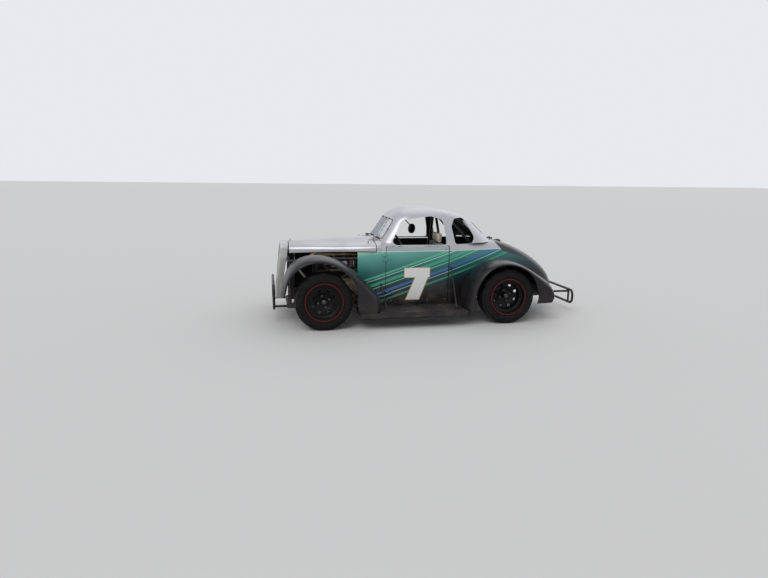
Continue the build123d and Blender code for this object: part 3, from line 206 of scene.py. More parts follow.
silver = (182, 182, 186)
recipes = {
    # material, colour, roughness, metallic, coat, dust, scuffs, their colour, grain, gloss
    "silver": ("silver_paint", silver, 0.34, 0.55, 0.4, 0.12, 0.12, (120, 118, 118)),
    "shell_silver": ("grille_silver", (190, 190, 186), 0.34, 0.35, 0.3, 0.15, 0.15, (112, 110, 108)),
    "black": ("fender_black", (24, 21, 26), 0.34, 0.0, 0.16, 0.12, 0.22, (84, 80, 82), 0.0, 0.25),
    "board": ("board_grey", (38, 36, 39), 0.5, 0.0, 0.05, 0.2, 0.3, (96, 90, 88), 0.0, 0.25),
    "bar_black": ("bumper_black", (26, 25, 28), 0.42, 0.0, 0.1, 0.2, 0.4, (130, 126, 122), 0.0, 0.3),
    "frame": ("frame_paint", (46, 46, 50), 0.5, 0.0, 0.1, 0.6, 0.25),
    "cage": ("cage_paint", (26, 26, 28), 0.4, 0.0, 0.3, 0.1, 0.1),
    "alloy": ("sheet_alloy", (150, 152, 156), 0.42, 0.9, 0.0, 0.35, 0.2, (70, 68, 66)),
    "dash": ("dash_black", (30, 30, 32), 0.7, 0.0, 0.0, 0.1, 0.05, (80, 78, 76), 0.0006),
    "steel": ("grille_steel", (150, 150, 154), 0.3, 0.9, 0.0, 0.1, 0.2, (80, 78, 76)),
    # Engine, fins and carbs are lighter than their own colour: painted light for the shaded engine bay.
    "engine": ("engine_alloy", (186, 174, 150), 0.5, 0.35, 0.0, 0.5, 0.5, (60, 50, 40), 0.0008),
    "fins": ("fin_black", (96, 88, 78), 0.55, 0.3, 0.0, 0.3, 0.4, (170, 146, 108)),
    "carb": ("carb_alloy", (212, 190, 146), 0.38, 0.4, 0.0, 0.2, 0.3, (80, 66, 48)),
    "rust": ("exhaust_steel", (112, 88, 70), 0.6, 0.55, 0.0, 0.4, 0.8, (84, 48, 30), 0.0006),
    "cooler": ("cooler_black", (34, 34, 36), 0.6, 0.2, 0.0, 0.4, 0.4),
    "axle": ("axle_paint", (58, 56, 56), 0.55, 0.1, 0.0, 0.7, 0.4),
    "arms": ("arm_paint", (182, 156, 126), 0.5, 0.1, 0.0, 0.5, 0.4, (70, 58, 50)),
    "rods": ("rod_steel", (128, 126, 124), 0.35, 0.9, 0.0, 0.4, 0.3, (84, 60, 44)),
    "grip": ("grip", (24, 24, 25), 0.75, 0.0, 0.0, 0.0, 0.1, (60, 58, 56), 0.0005),
    "seat": ("seat_alloy", (176, 170, 160), 0.36, 0.85, 0.0, 0.1, 0.2, (100, 96, 92)),
    "tank": ("tank_plastic", (60, 62, 66), 0.5, 0.0, 0.0, 0.3, 0.1),
    "shell": ("mirror_shell", (24, 24, 26), 0.35, 0.0, 0.3, 0.0, 0.05),
    "bright": ("bright_steel", (196, 196, 198), 0.2, 1.0, 0.0, 0.05, 0.1, (110, 108, 106)),
    "rubber": ("hose_rubber", (28, 27, 27), 0.65, 0.0, 0.0, 0.2, 0.1, (70, 66, 62)),
    "red": ("red_plastic", (150, 32, 30), 0.35, 0.0, 0.2, 0.05, 0.05, (90, 30, 28)),
    "nuts": ("nut_steel", (74, 72, 72), 0.35, 0.6, 0.0, 0.2, 0.3, (40, 36, 34)),
    "spring": ("spring_paint", (176, 150, 104), 0.42, 0.0, 0.2, 0.3, 0.25, (90, 76, 60)),
    "vinyl": ("seat_vinyl", (38, 36, 38), 0.5, 0.0, 0.15, 0.1, 0.2, (84, 80, 78), 0.0003),
    "beige": ("headrest_vinyl", (196, 186, 164), 0.55, 0.0, 0.1, 0.05, 0.2, (120, 112, 100), 0.0003),
    "piping": ("seat_piping", (70, 66, 66), 0.55, 0.0, 0.0, 0.1, 0.1, (110, 104, 100)),
    "webbing": ("webbing", (36, 38, 46), 0.7, 0.0, 0.0, 0.05, 0.1, (90, 90, 94)),
    # The cones and fuel rail are lighter than their own colour: painted light for the shaded engine bay.
    "gold": ("cone_mesh", (206, 180, 132), 0.5, 0.25, 0.0, 0.3, 0.4, (70, 56, 36)),
    "braid": ("braided_hose", (176, 170, 158), 0.45, 0.4, 0.0, 0.3, 0.3, (60, 58, 56), 0.0004),
    # painted shade: dark sheets standing for the shadow at the back of the engine bay
    "bay_shade": ("bay_shade_sheet", (30, 29, 30), 0.6, 0.0, 0.1, 0.5, 0.4),
    "lead_red": ("plug_lead", (176, 40, 34), 0.5, 0.0, 0.1, 0.2, 0.1),
}
finishes = {key: worn(*recipe) for key, recipe in recipes.items()}
print(len(finishes), "worn finishes")

# %% [markdown]
# ## The livery
# The cab and hood are silver. Below the belt line the sides run from teal at the nose to nearly black at
# the sills, crossed by straight stripes in greens and blue, and the tail's top is dark. The number is a
# convex bar joined to a convex slanted leg: the distance to each is the largest of its edges' signed
# distances.

# %% The livery
belt_z = 0.7215
bar_corners = [(-0.307, 0.548), (-0.307, 0.453), (-0.045, 0.453), (-0.045, 0.548)]
leg_corners = [(-0.186, 0.47), (-0.288, 0.222), (-0.150, 0.222), (-0.045, 0.497), (-0.045, 0.53)]
number_middle = -0.176
stripe_slope = 0.34
stripes = (  # height where y is 0, half width, colour
    (0.668, 0.010, (86, 190, 150)), (0.640, 0.004, (176, 222, 204)), (0.590, 0.016, (64, 170, 134)),
    (0.552, 0.005, (120, 204, 172)), (0.490, 0.013, (58, 112, 176)), (0.452, 0.004, (150, 196, 214)),
    (0.400, 0.010, (52, 150, 120)))


def edge_distance(u, v, corners):
    """Signed distance to a convex outline, corners in order with the inside on the left: the largest over its
    edges of the distance outwards from the edge's line."""
    found = None
    for (au, av), (bu, bv) in zip(corners, corners[1:] + corners[:1]):
        long = math.hypot(bu - au, bv - av)
        across, down = (bv - av) / long, -(bu - au) / long
        away = u * across + v * down - (au * across + av * down)
        found = away if found is None else found.larger(away)
    return found


def livery(name, numbered):
    """Silver above the belt, a teal to black fade below it, stripes, a dark tail, and black inside."""
    paint = Paint(name, coat_weight=0.28, coat_roughness=0.1, specular_ior_level=0.35)
    x, y, z = paint.place()
    side = x.maths("SIGN")
    slow, fine = paint.noise(3.5), paint.noise(46, 5, 0.7)
    fade = (belt_z - z) * 1.9 + (y + 0.78) * 0.24 + (slow - 0.5) * 0.12
    low = paint.ramp(fade, [(0.0, screen(176, 206, 196)), (0.13, screen(96, 168, 154)),
                            (0.42, screen(44, 110, 104)), (0.72, screen(22, 50, 54)),
                            (0.95, screen(14, 13, 18))])
    rise = z - y * stripe_slope
    for middle, half, shade in stripes:
        band = 1 - (rise - middle).size().step(half - 0.0006, half + 0.0006)
        low = paint.mix(band * (0.5 + slow * 0.6).smaller(0.9), low, screen(*shade))
    # A pale line just under the belt is a painted highlight along the belt's edge.
    low = paint.mix((z - 0.7155).step(0, 0.0008), low, screen(214, 216, 214))
    strip = (1 - z.step(0.7655, 0.7665)) * y.step(-0.5, -0.498) * (1 - y.step(0.156, 0.158))
    above = paint.mix(strip * 0.6, screen(*silver), screen(150, 168, 164))
    over_belt = z.step(belt_z - 0.0004, belt_z + 0.0004)
    colour = paint.mix(over_belt, low, above)
    tail = (z + y * 0.31 - 0.940).step(0, 0.001) * (y + z * 0.85 - 1.375).step(0, 0.001)
    colour = paint.mix(tail, colour, screen(52, 49, 53))
    if numbered:
        across = (y - number_middle) * side + number_middle
        away = edge_distance(across, z, bar_corners).smaller(edge_distance(across, z, leg_corners))
        colour = paint.mix(1 - away.step(0.0065, 0.0072), colour, screen(176, 148, 84))
        colour = paint.mix(1 - away.step(-0.0003, 0.0004), colour, screen(226, 226, 224))
    scuffs = paint.noise(11, 6, 0.75).step(0.62, 0.7) * fine.step(0.42, 0.6) * 0.22
    dusty = (1 - z.step(0.12, 0.5)) * paint.noise(7, 4).step(0.3, 0.75) * 0.3
    colour = paint.mix(scuffs, colour, screen(120, 116, 114))
    colour = paint.mix(dusty, colour, dust_shade)
    # Black inside: faces that look at the car's middle, the ceiling, and the tail's forward faces.
    nx, ny, nz = paint.facing()
    inward = (nx * side * -1.0).step(0.25, 0.35).larger((nz * -1.0).step(0.3, 0.4) * z.step(0.86, 0.87))
    inward = inward.larger((ny * -1.0).step(0.3, 0.4) * y.step(0.2, 0.21))
    paint.set(base_color=paint.mix(inward, colour, screen(34, 34, 37)),
              metallic=over_belt * (1 - tail) * (1 - inward) * 0.55,
              roughness=(slow * 0.14 + 0.27 + scuffs * 0.8 + dusty * 0.8 + inward * 0.3).smaller(1.0))
    return paint


finishes["body"] = livery("body_silver", False)
finishes["door"] = livery("body_teal", True)

# %% [markdown]
# ## Glass, tyre rubber and the wheels' red line
# The screens are thin plastic, so a plain grey film that lets most light through is enough. The wheels are
# the worn black with a red band near the flange, found from the distance to the axle's line.

# %% Glass, rubber and wheels
axles = {"front": -1.145, "rear": 0.710}
sides = {"left": 1, "right": -1}
wheel_x, hub_z = 0.5975, 0.276
finishes["pane"] = Paint("pane", base_color=screen(196, 204, 212), roughness=0.12, alpha=0.38,
                         specular_ior_level=0.5)


def from_axle(y, z, axle_y):
    """Distance from an axle's line: the square root of the two squared distances' sum."""
    return ((y - axle_y) * (y - axle_y) + (z - hub_z) * (z - hub_z)).maths("SQRT")


def tyre_paint(end):
    """Dull black; the tread greyer with road dust, and a scrubbed ring on the sidewall."""
    paint = Paint("tyre_rubber_" + end, roughness=0.78, specular_ior_level=0.2)
    away = from_axle(*paint.place()[1:], axles[end])
    dust = paint.noise(9, 5).step(0.35, 0.7) * (away.step(0.262, 0.270) * 0.4 + 0.08)
    ring = away.step(0.20, 0.206) * (1 - away.step(0.246, 0.252)) * paint.noise(30, 4).step(0.5, 0.7) * 0.18
    paint.set(base_color=paint.mix((dust + ring).smaller(1.0), screen(12, 11, 12), screen(66, 60, 58)))
    paint.bump(paint.noise(120, 3), 0.0008, 0.5)
    return paint


def wheel_paint(end):
    """Scuffed black, and red on the flange's outer edge."""
    paint = Paint("wheel_black_" + end, coat_weight=0.05, coat_roughness=0.15, specular_ior_level=0.15)
    x, y, z = paint.place()
    red = from_axle(y, z, axles[end]).step(0.1780, 0.1785) * x.size().step(0.680, 0.681)
    scuffs = paint.noise(24, 6, 0.75).step(0.58, 0.68) * 0.16
    black = paint.mix(scuffs, screen(7, 6, 7), screen(66, 60, 58))
    paint.set(base_color=paint.mix(red, black, screen(116, 24, 34)), roughness=scuffs * 0.5 + 0.34)
    return paint


for end in axles:
    finishes["tyre_" + end] = tyre_paint(end)
    finishes["wheel_" + end] = wheel_paint(end)

# %% [markdown]
# ## Dressing the CAD parts
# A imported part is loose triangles. Welding them lets light roll over curved skin, and splitting the edges
# that turn by more than 32 degrees keeps real corners crisp. Both are modifiers, so the CAD mesh stays as
# it is. The two screens are thin bent sheets, whose light rolls best when their normals come from a fitted
# curve.

# %% Dress the parts
wearers = {"frame": "frame_rails", "cage": "roll_cage steering_column",
           "alloy": "floor_pan firewall rack_housing", "dash": "dashboard", "body": "body_shell deck_lid",
           "door": "door_left door_right", "silver": "hood", "shell_silver": "grille_shell",
           "steel": "grille_bars", "pane": "windscreen rear_window",
           "black": "front_fender_left front_fender_right rear_fender_left rear_fender_right",
           "board": "running_board_left running_board_right", "bar_black": "front_bumper rear_bumper",
           "engine": "crankcase", "fins": "cylinders", "carb": "carburettors", "rust": "exhaust",
           "cooler": "oil_cooler", "axle": "propshaft rear_axle knuckle_left knuckle_right",
           "arms": "front_arms", "rods": "rear_links tie_rods", "grip": "steering_wheel",
           "seat": "seat_shell", "tank": "fuel_tank", "shell": "mirror",
           "wheel_front": "wheel_front_left wheel_front_right",
           "wheel_rear": "wheel_rear_left wheel_rear_right"}
corner_degrees = 32


def dress(node, finish):
    """Finish and smooth shading for one CAD part."""
    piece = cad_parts[node]
    piece.data.materials.clear()
    piece.data.materials.append(finish.material)
    piece.data.polygons.foreach_set("use_smooth", [True] * len(piece.data.polygons))
    if "custom_normal" in piece.data.attributes:
        piece.data.attributes.remove(piece.data.attributes["custom_normal"])
    weld = piece.modifiers.new("weld", "WELD")
    weld.merge_threshold = 2e-6
    split = piece.modifiers.new("corners", "EDGE_SPLIT")
    split.split_angle = math.radians(corner_degrees)


def even_light(piece):
    """Normals for a thin bent sheet: y is fitted as a polynomial in x and z, and its slope gives the
    direction at each corner on the sheet's two faces; the narrow edges keep their own."""
    mesh = piece.data
    points = np.empty(len(mesh.vertices) * 3)
    mesh.vertices.foreach_get("co", points)
    x, y, z = points.reshape(-1, 3).T
    z = z - z.mean()
    powers = [(a, b) for a in (0, 2, 4, 6) for b in range(4) if a + b < 8]
    terms = np.stack([x ** a * z ** b for a, b in powers], 1)
    fit = np.linalg.lstsq(terms, y, rcond=None)[0]
    slope_x = sum(c * a * x ** max(a - 1, 0) * z ** b for c, (a, b) in zip(fit, powers))
    slope_z = sum(c * b * x ** a * z ** max(b - 1, 0) for c, (a, b) in zip(fit, powers))
    smooth = np.stack([slope_x, -np.ones_like(x), slope_z], 1)
    smooth /= np.linalg.norm(smooth, axis=1)[:, None]
    corners = np.empty(len(mesh.loops), int)
    mesh.loops.foreach_get("vertex_index", corners)
    flat = np.repeat([tuple(face.normal) for face in mesh.polygons], 3, axis=0)
    along = (smooth[corners] * flat).sum(1)[:, None]
    normals = np.where(np.abs(along) > 0.8, smooth[corners] * np.sign(along), flat)
    mesh.normals_split_custom_set(normals.tolist())
    piece.modifiers.clear()
    print(piece.name, "fitted to", round(float(np.abs(terms @ fit - y).max()) * 1000, 2), "mm")


for key, nodes in wearers.items():
    for node in nodes.split():
        dress(node, finishes[key])
    print(key, "on", nodes)
for node in ("windscreen", "rear_window"):
    even_light(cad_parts[node])

# %% [markdown]
# ## Shapes from formulas
# Every added piece is a grid of points worked out with numpy. A turned form is a profile carried round an
# axis, a tube is a ring carried along a path, and a block is eight corners. A shape is its points and its
# four-sided faces, so shapes join by stacking arrays.

# %% Shape helpers
ahead, behind, leftward, upward = (0, -1, 0), (0, 1, 0), (1, 0, 0), (0, 0, 1)


def grid(points, wrap_u=False, wrap_v=False):
    """Faces between neighbours of a grid of points (rows, columns, 3)."""
    rows, columns = points.shape[:2]
    u = np.arange(rows if wrap_u else rows - 1)[:, None]
    v = np.arange(columns if wrap_v else columns - 1)[None, :]
    above, beside = (u + 1) % rows, (v + 1) % columns
    faces = np.stack([u * columns + v, above * columns + v, above * columns + beside,
                      u * columns + beside], -1)
    return points.reshape(-1, 3), faces.reshape(-1, 4)


def capped(rings):
    """Rings of points (rows, columns, 3), closed at both ends by a point in the middle of the last ring."""
    ends = [ring.mean(1, keepdims=True) + 0 * ring for ring in (rings[:1], rings[-1:])]
    return grid(np.concatenate([ends[0], rings, ends[1]]), wrap_v=True)


def joined(shapes):
    """Several shapes as one."""
    starts = np.cumsum([0] + [len(points) for points, faces in shapes[:-1]])
    return (np.concatenate([points for points, faces in shapes]),
            np.concatenate([faces + start for (points, faces), start in zip(shapes, starts)]))


def other_side(shape):
    """The same shape across the car, its faces turned so that they still look outwards."""
    points, faces = shape
    return points * (-1, 1, 1), faces[:, ::-1]


def unit(vector):
    vector = np.asarray(vector, float)
    return vector / np.linalg.norm(vector)


def around(axis):
    """Two unit directions square to an axis and to each other."""
    axis = unit(axis)
    first = unit(np.cross(axis, (0.0, 0.0, 1.0) if abs(axis[2]) < 0.9 else (0.0, 1.0, 0.0)))
    return first, np.cross(axis, first)


def turned(profile, origin, axis, steps=40, start=0.0):
    """Profile points (distance along the axis, radius) carried round the axis."""
    along, radius = np.array(profile, float).T
    first, second = around(axis)
    angle = start + np.linspace(0, 2 * np.pi, steps, endpoint=False)
    ring = np.cos(angle)[:, None] * first + np.sin(angle)[:, None] * second
    points = np.asarray(origin) + along[:, None, None] * unit(axis) + radius[:, None, None] * ring[None]
    return grid(points, wrap_v=True)


def tube(path, radius, sides=10, closed=False, wide=None, level=upward):
    """Ring carried along a path: the ring's plane is square to the path's slope, turned by one fixed level
    direction. A second radius makes a flat strap."""
    path = np.asarray(path, float)
    slope = np.roll(path, -1, 0) - np.roll(path, 1, 0) if closed else np.gradient(path, axis=0)
    slope /= np.linalg.norm(slope, axis=1)[:, None]
    side = np.cross(slope, level)
    side /= np.linalg.norm(side, axis=1)[:, None]
    up = np.cross(side, slope)
    angle = np.linspace(0, 2 * np.pi, sides, endpoint=False)
    ring = (np.cos(angle)[None, :, None] * side[:, None] * (wide or radius)
            + np.sin(angle)[None, :, None] * up[:, None] * radius)
    if closed:
        return grid(path[:, None] + ring, True, True)
    ends = path[:1, None] + 0 * ring[:1], path[-1:, None] + 0 * ring[:1]
    return grid(np.concatenate([ends[0], path[:, None] + ring, ends[1]]), wrap_v=True)


def block(low, high):
    """Box between two corners."""
    low, high = np.array(low, float), np.array(high, float)
    corners = np.array([[x, y, z] for x in (0, 1) for y in (0, 1) for z in (0, 1)], float)
    faces = np.array([(0, 1, 3, 2), (4, 6, 7, 5), (0, 4, 5, 1), (2, 3, 7, 6), (0, 2, 6, 4), (1, 5, 7, 3)])
    return low + corners * (high - low), faces


def sheet(corners, wall):
    """Flat sheet through four corners, wall thick towards its normal."""
    corners = np.asarray(corners, float)
    normal = unit(np.cross(corners[1] - corners[0], corners[2] - corners[0]))
    points = np.concatenate([corners, corners + wall * normal])
    faces = np.array([(3, 2, 1, 0), (4, 5, 6, 7), (0, 1, 5, 4), (1, 2, 6, 5), (2, 3, 7, 6), (3, 0, 4, 7)])
    return points, faces


def smooth_path(corners, count):
    """Points along a rounded path: a cubic between each two corners, whose slope at a corner is half the step
    from the corner before it to the one after."""
    corners = np.asarray(corners, float)
    padded = np.concatenate([2 * corners[:1] - corners[1:2], corners, 2 * corners[-1:] - corners[-2:-1]])
    t = np.linspace(0, len(corners) - 1, count)
    k = np.minimum(t.astype(int), len(corners) - 2)
    s = (t - k)[:, None]
    a, b, c, d = padded[k], padded[k + 1], padded[k + 2], padded[k + 3]
    return 0.5 * (2 * b + (c - a) * s + (2 * a - 5 * b + 4 * c - d) * s ** 2
                  + (3 * b - a - 3 * c + d) * s ** 3)


def hose(corners, count, radius, sides=10, level=leftward):
    """Tube along a rounded path."""
    return tube(smooth_path(corners, count), radius, sides, level=level)


def build(name, shapes, finish, body="chassis", replaces=(), angle=corner_degrees, bevel=0.0):
    """Puts shapes into one mesh, closes its poles, turns its faces outwards and lets it ride on a body."""
    points, faces = joined(shapes)
    mesh = bpy.data.meshes.new(name)
    mesh.from_pydata(points.tolist(), [], faces.tolist())
    work = bmesh.new()
    work.from_mesh(mesh)
    bmesh.ops.remove_doubles(work, verts=work.verts, dist=1e-6)
    bmesh.ops.dissolve_degenerate(work, edges=work.edges, dist=1e-7)
    bmesh.ops.recalc_face_normals(work, faces=work.faces)
    work.to_mesh(mesh)
    work.free()
    mesh.polygons.foreach_set("use_smooth", [True] * len(mesh.polygons))
    mesh.set_sharp_from_angle(angle=math.radians(angle))
    mesh.materials.append(finishes[finish].material)
    piece = bpy.data.objects.new(name, mesh)
    bpy.context.scene.collection.objects.link(piece)
    if bevel:
        rounding = piece.modifiers.new("rounding", "BEVEL")
        rounding.width = bevel
        rounding.segments = 2
        rounding.limit_method = "ANGLE"
    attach(piece, body)
    if replaces:
        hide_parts(*replaces)
    print(name, len(mesh.polygons), "faces")
    return piece


# %% [markdown]
# ## Tyres
# A road tyre is a turned profile with its tread cut in. The profile's points are arcs between bead, bulge
# and shoulder. The tread is a height field over angle and width: four grooves round the tyre, slanting
# slots in the shoulders and fine cuts between, all pressed inwards, so the tyre never grows past its CAD
# size.

# %% Tyres
tyre_radius, tread_half, widest, ridge_high = 0.276, 0.0655, 0.1024, 0.0008
groove_deep, slot_deep, sipe_deep = 0.0055, 0.0045, 0.0022
pitches, steps_each = 56, 8


def arc(start, middle, end, count):
    """Points on the circle through three points of a plane, start to end."""
    (ax, ay), (bx, by), (cx, cy) = start, middle, end
    d = 2 * (ax * (by - cy) + bx * (cy - ay) + cx * (ay - by))
    a2, b2, c2 = ax * ax + ay * ay, bx * bx + by * by, cx * cx + cy * cy
    centre = np.array([(a2 * (by - cy) + b2 * (cy - ay) + c2 * (ay - by)) / d,
                       (a2 * (cx - bx) + b2 * (ax - cx) + c2 * (bx - ax)) / d])
    angles = np.unwrap([math.atan2(p[1] - centre[1], p[0] - centre[0]) for p in (start, middle, end)])
    t = np.linspace(angles[0], angles[2], count)
    return centre + math.dist(start, centre) * np.stack([np.cos(t), np.sin(t)], -1)


def cut(turn, half):
    """1 in a slot about each whole number of turn, 0 between the slots."""
    return np.exp(-((turn - np.round(turn)) / half) ** 4)


def tyre_shape(centre_x, axle_y):
    """Profile round the axle; depth = grooves where the width is near four lines, slots where angle + slant
    is near a multiple of the pitch, both only on the tread."""
    side = np.concatenate([
        [(0.0857, 0.1683), (0.0857, 0.177), (0.0868, 0.186)],
        arc((0.0868, 0.188), (0.1022, 0.222), (0.0888, 0.261), 22),
        arc((0.0884, 0.2622), (0.0805, 0.2718), (0.067, 0.2757), 7)])
    for middle, half in ((0.196, 0.0016), (0.250, 0.0014)):
        side[:, 0] += ridge_high * np.exp(-((side[:, 1] - middle) / half) ** 2)
    side[:, 0] = np.minimum(side[:, 0], widest)
    tread = np.stack([np.linspace(tread_half, -tread_half, 64), np.full(64, tyre_radius - 0.0002)], -1)
    profile = np.concatenate([side, tread, side[::-1] * (-1, 1)])
    steps = pitches * steps_each
    angle = np.linspace(0, 2 * np.pi, steps, endpoint=False)
    across, radius = profile[:, 0][:, None], np.repeat(profile[:, 1][:, None], steps, 1)
    on_tread = np.clip((radius - 0.2685) / 0.004, 0, 1)
    groove = sum(np.exp(-((across - line) / 0.0034) ** 4) for line in (-0.046, -0.016, 0.016, 0.046))
    turn = angle[None] * pitches / (2 * np.pi)
    slot = cut(turn + np.sign(across) * 0.5 + np.abs(across) * 16, 0.13)
    slot = slot * np.clip((np.abs(across) - 0.050) / 0.002, 0, 1)
    sipe = cut(turn + across * 22, 0.09) * np.clip((0.0445 - np.abs(across)) / 0.002, 0, 1)
    deep = np.maximum(np.maximum(groove_deep * groove, slot_deep * slot), sipe_deep * sipe)
    radius = radius - on_tread * deep
    points = np.stack([centre_x + across + 0 * radius, axle_y + radius * np.sin(angle),
                       hub_z + radius * np.cos(angle)], -1)
    return grid(points, wrap_u=True, wrap_v=True)


wheels = [(end, axle_y, name, side) for end, axle_y in axles.items() for name, side in sides.items()]
for end, axle_y, name, side in wheels:
    build("tyre_tread_%s_%s" % (end, name), [tyre_shape(side * wheel_x, axle_y)], "tyre_" + end,
          "%s_wheel_%s" % (end, name), ["tyre_%s_%s" % (end, name)], 50)

# %% [markdown]
# ## Wheel nuts and hub caps
# Four nuts hold each wheel. A nut is a profile turned in only six steps, and a cap the same in forty. They
# are real geometry rather than bump, because the wheels are seen close from the side.

# %% Wheel fittings
face_x = {"front": 0.6275, "rear": 0.5875}
nut_circle = 0.05715
hub_cap = [(0.034, 0), (0.034, 0.0235), (0.040, 0.0235), (0.0465, 0.017), (0.0485, 0.009), (0.049, 0)]
nut = [(-0.001, 0), (-0.001, 0.0128), (0.003, 0.0128), (0.0035, 0.0108), (0.016, 0.0108), (0.0185, 0.0075),
       (0.0195, 0)]
stud_end = [(0.019, 0), (0.019, 0.0058), (0.024, 0.0058), (0.025, 0.0045), (0.025, 0)]
for end, axle_y, name, side in wheels:
    out = (side, 0, 0)
    fittings = [turned(hub_cap, (side * face_x[end], axle_y, hub_z), out)]
    for k in range(4):
        turn = math.radians(19 + 90 * k)
        spot = (side * face_x[end], axle_y + side * nut_circle * math.cos(turn),
                hub_z + nut_circle * math.sin(turn))
        fittings += [turned(nut, spot, out, 6, turn), turned(stud_end, spot, out, 14)]
    build("wheel_nuts_%s_%s" % (end, name), fittings, "nuts", "%s_wheel_%s" % (end, name),
          angle=28)

# %% [markdown]
# ## Coil springs and dampers
# The CAD part is one plain cylinder for each spring. Here the wire is a helix carried as a tube: a circle
# about the damper's axis whose centre climbs evenly, but not at its two ends, where a real spring's turns
# lie flat.

# %% Springs
spring_lines = [((0.428, -1.145, 0.2033), (0.352, -1.145, 0.580)),
                ((0.344, 0.766, 0.2613), (0.314, 0.790, 0.5807))]
coil_radius, wire_radius, coil_pitch = 0.0238, 0.0042, 0.036
lower_seat, both_seats = 0.058, 0.110


def spring_shape(low, high):
    """Helix: centre + r (cos a first + sin a second), with the climb eased at both ends."""
    low, high = np.array(low), np.array(high)
    axis = unit(high - low)
    long = np.linalg.norm(high - low)
    first, second = around(axis)
    share = np.linspace(0, 1, 300)
    angle = share * 2 * np.pi * (long / coil_pitch)
    climb = lower_seat + (long - both_seats) * np.clip((share - 0.05) / 0.9, 0, 1)
    circle = np.cos(angle)[:, None] * first + np.sin(angle)[:, None] * second
    return tube(low + climb[:, None] * axis + coil_radius * circle, wire_radius, 8, level=tuple(axis))


def damper_shapes(low, high):
    """Damper body, threaded sleeve, shaft, seats and eyes on one axis."""
    low, high = np.array(low), np.array(high)
    long = np.linalg.norm(high - low)
    body = [(0.004, 0), (0.004, 0.012), (0.016, 0.0185), (0.046, 0.0185), (0.046, 0.0325), (0.054, 0.0325)]
    body += [(s, 0.0178 + 0.0009 * (k % 2)) for k, s in enumerate(np.arange(0.054, long * 0.52, 0.0015))]
    body += [(long * 0.52, 0.0178), (long * 0.53, 0.007), (long - 0.048, 0.007), (long - 0.048, 0.0325),
             (long - 0.040, 0.0325), (long - 0.036, 0.012), (long - 0.012, 0.011), (long - 0.004, 0)]
    eye = [(-0.013, 0), (-0.013, 0.0108), (0.013, 0.0108), (0.013, 0)]
    return [turned(body, low, high - low, 28), turned(eye, low, behind, 20), turned(eye, high, behind, 20)]


coils = [spring_shape(*line) for line in spring_lines]
dampers = [shape for line in spring_lines for shape in damper_shapes(*line)]
build("springs", coils + [other_side(c) for c in coils], "spring", replaces=["coilovers"],
      angle=60)
build("dampers", dampers + [other_side(d) for d in dampers], "bar_black", angle=28)

# %% [markdown]
# ## Seat padding
# A cushion is a ring carried along a line. The ring is a superellipse, |u|^n + |v|^n = 1, so it is flat
# with soft corners; its upper half swells towards the middle, and narrow channels are pressed in where the
# seams run.

# %% Seat padding
channel_deep = 0.003


def softened(angle, power):
    """One coordinate of a superellipse: the cosine's sign times its size to a power below 1."""
    return np.sign(np.cos(angle)) * np.abs(np.cos(angle)) ** power


def cushion(line, across, half, thick, seams, side_seams, swell=0.3, columns=72, tight=0.06):
    """Ring of half width and half thickness along a line. Seams are shares of its length, side seams shares
    of its half width; both are channels 3 mm deep on the side that is sat on."""
    line = np.asarray(line, float)
    long = float(np.linalg.norm(np.diff(line, axis=0), axis=1).sum())
    share = np.linspace(0, 1, len(line))
    slope = np.gradient(line, axis=0)
    slope /= np.linalg.norm(slope, axis=1)[:, None]
    across = unit(across)
    up = np.cross(across, slope)
    up /= np.linalg.norm(up, axis=1)[:, None]
    angle = np.linspace(0, 2 * np.pi, columns, endpoint=False)
    u, v = softened(angle, 0.45), softened(angle - np.pi / 2, 0.55)
    end = np.clip(np.minimum(share, 1 - share) / tight, 0, 1)
    round_end = np.sqrt(1 - (1 - end) ** 2)[:, None]
    crown = 1 + swell * (1 - u ** 2) * (v > 0)
    channel = np.zeros((len(line), columns))
    for seam in seams:
        channel += np.exp(-((share - seam) * long / 0.0035) ** 2)[:, None]
    for seam in side_seams:
        channel += np.exp(-((u - seam) * half / 0.0030) ** 2)[None]
    rise = thick * v * crown * round_end - channel_deep * np.minimum(channel, 1) * (v > 0.3) * round_end
    wide = half * u * (0.965 + 0.035 * round_end)
    rings = line[:, None] + wide[..., None] * across + rise[..., None] * up[:, None]
    ends = line[:1, None] + 0 * rings[:1], line[-1:, None] + 0 * rings[:1]
    return grid(np.concatenate([ends[0], rings, ends[1]]), wrap_v=True)


seat_x = 0.170
seat_profile = ((-0.238, 0.2310), (-0.140, 0.2285), (-0.020, 0.2280), (0.030, 0.2520), (0.046, 0.3200),
                (0.068, 0.5200), (0.0935, 0.7700))
seat_line = smooth_path([(seat_x, y, z) for y, z in seat_profile], 150)
seat_seams = (0.14, 0.23, 0.48, 0.58, 0.68, 0.78, 0.88)
pad = build("seat_cushion", [cushion(seat_line, (-1, 0, 0), 0.1495, 0.0170, seat_seams, (-0.62, 0.62))],
            "vinyl", replaces=["seat_pad"], angle=60)
rest_line = np.linspace((seat_x - 0.095, 0.1000, 0.835), (seat_x + 0.095, 0.1000, 0.835), 60)
rest = build("head_cushion", [cushion(rest_line, (0, 0, -1), 0.0445, 0.0245, (0.5,), (), 0.12)], "beige",
             replaces=["headrest"], angle=60)
cords = [tube(seat_line[8:-8] + (side * 0.1478, 0, 0), 0.0024, 8, level=leftward) for side in (-1, 1)]
build("seat_piping", cords, "piping")

# %% [markdown]
# ## Harness
# Five straps meet in one buckle. Each is a tube squashed flat, laid along the padding a few millimetres
# above it, and the two shoulder straps cross a steel adjuster each.

# %% Harness
strap_thick = 0.0011


def strap(corners, half, level):
    return tube(smooth_path(corners, 60), half, 12, wide=strap_thick, level=level)


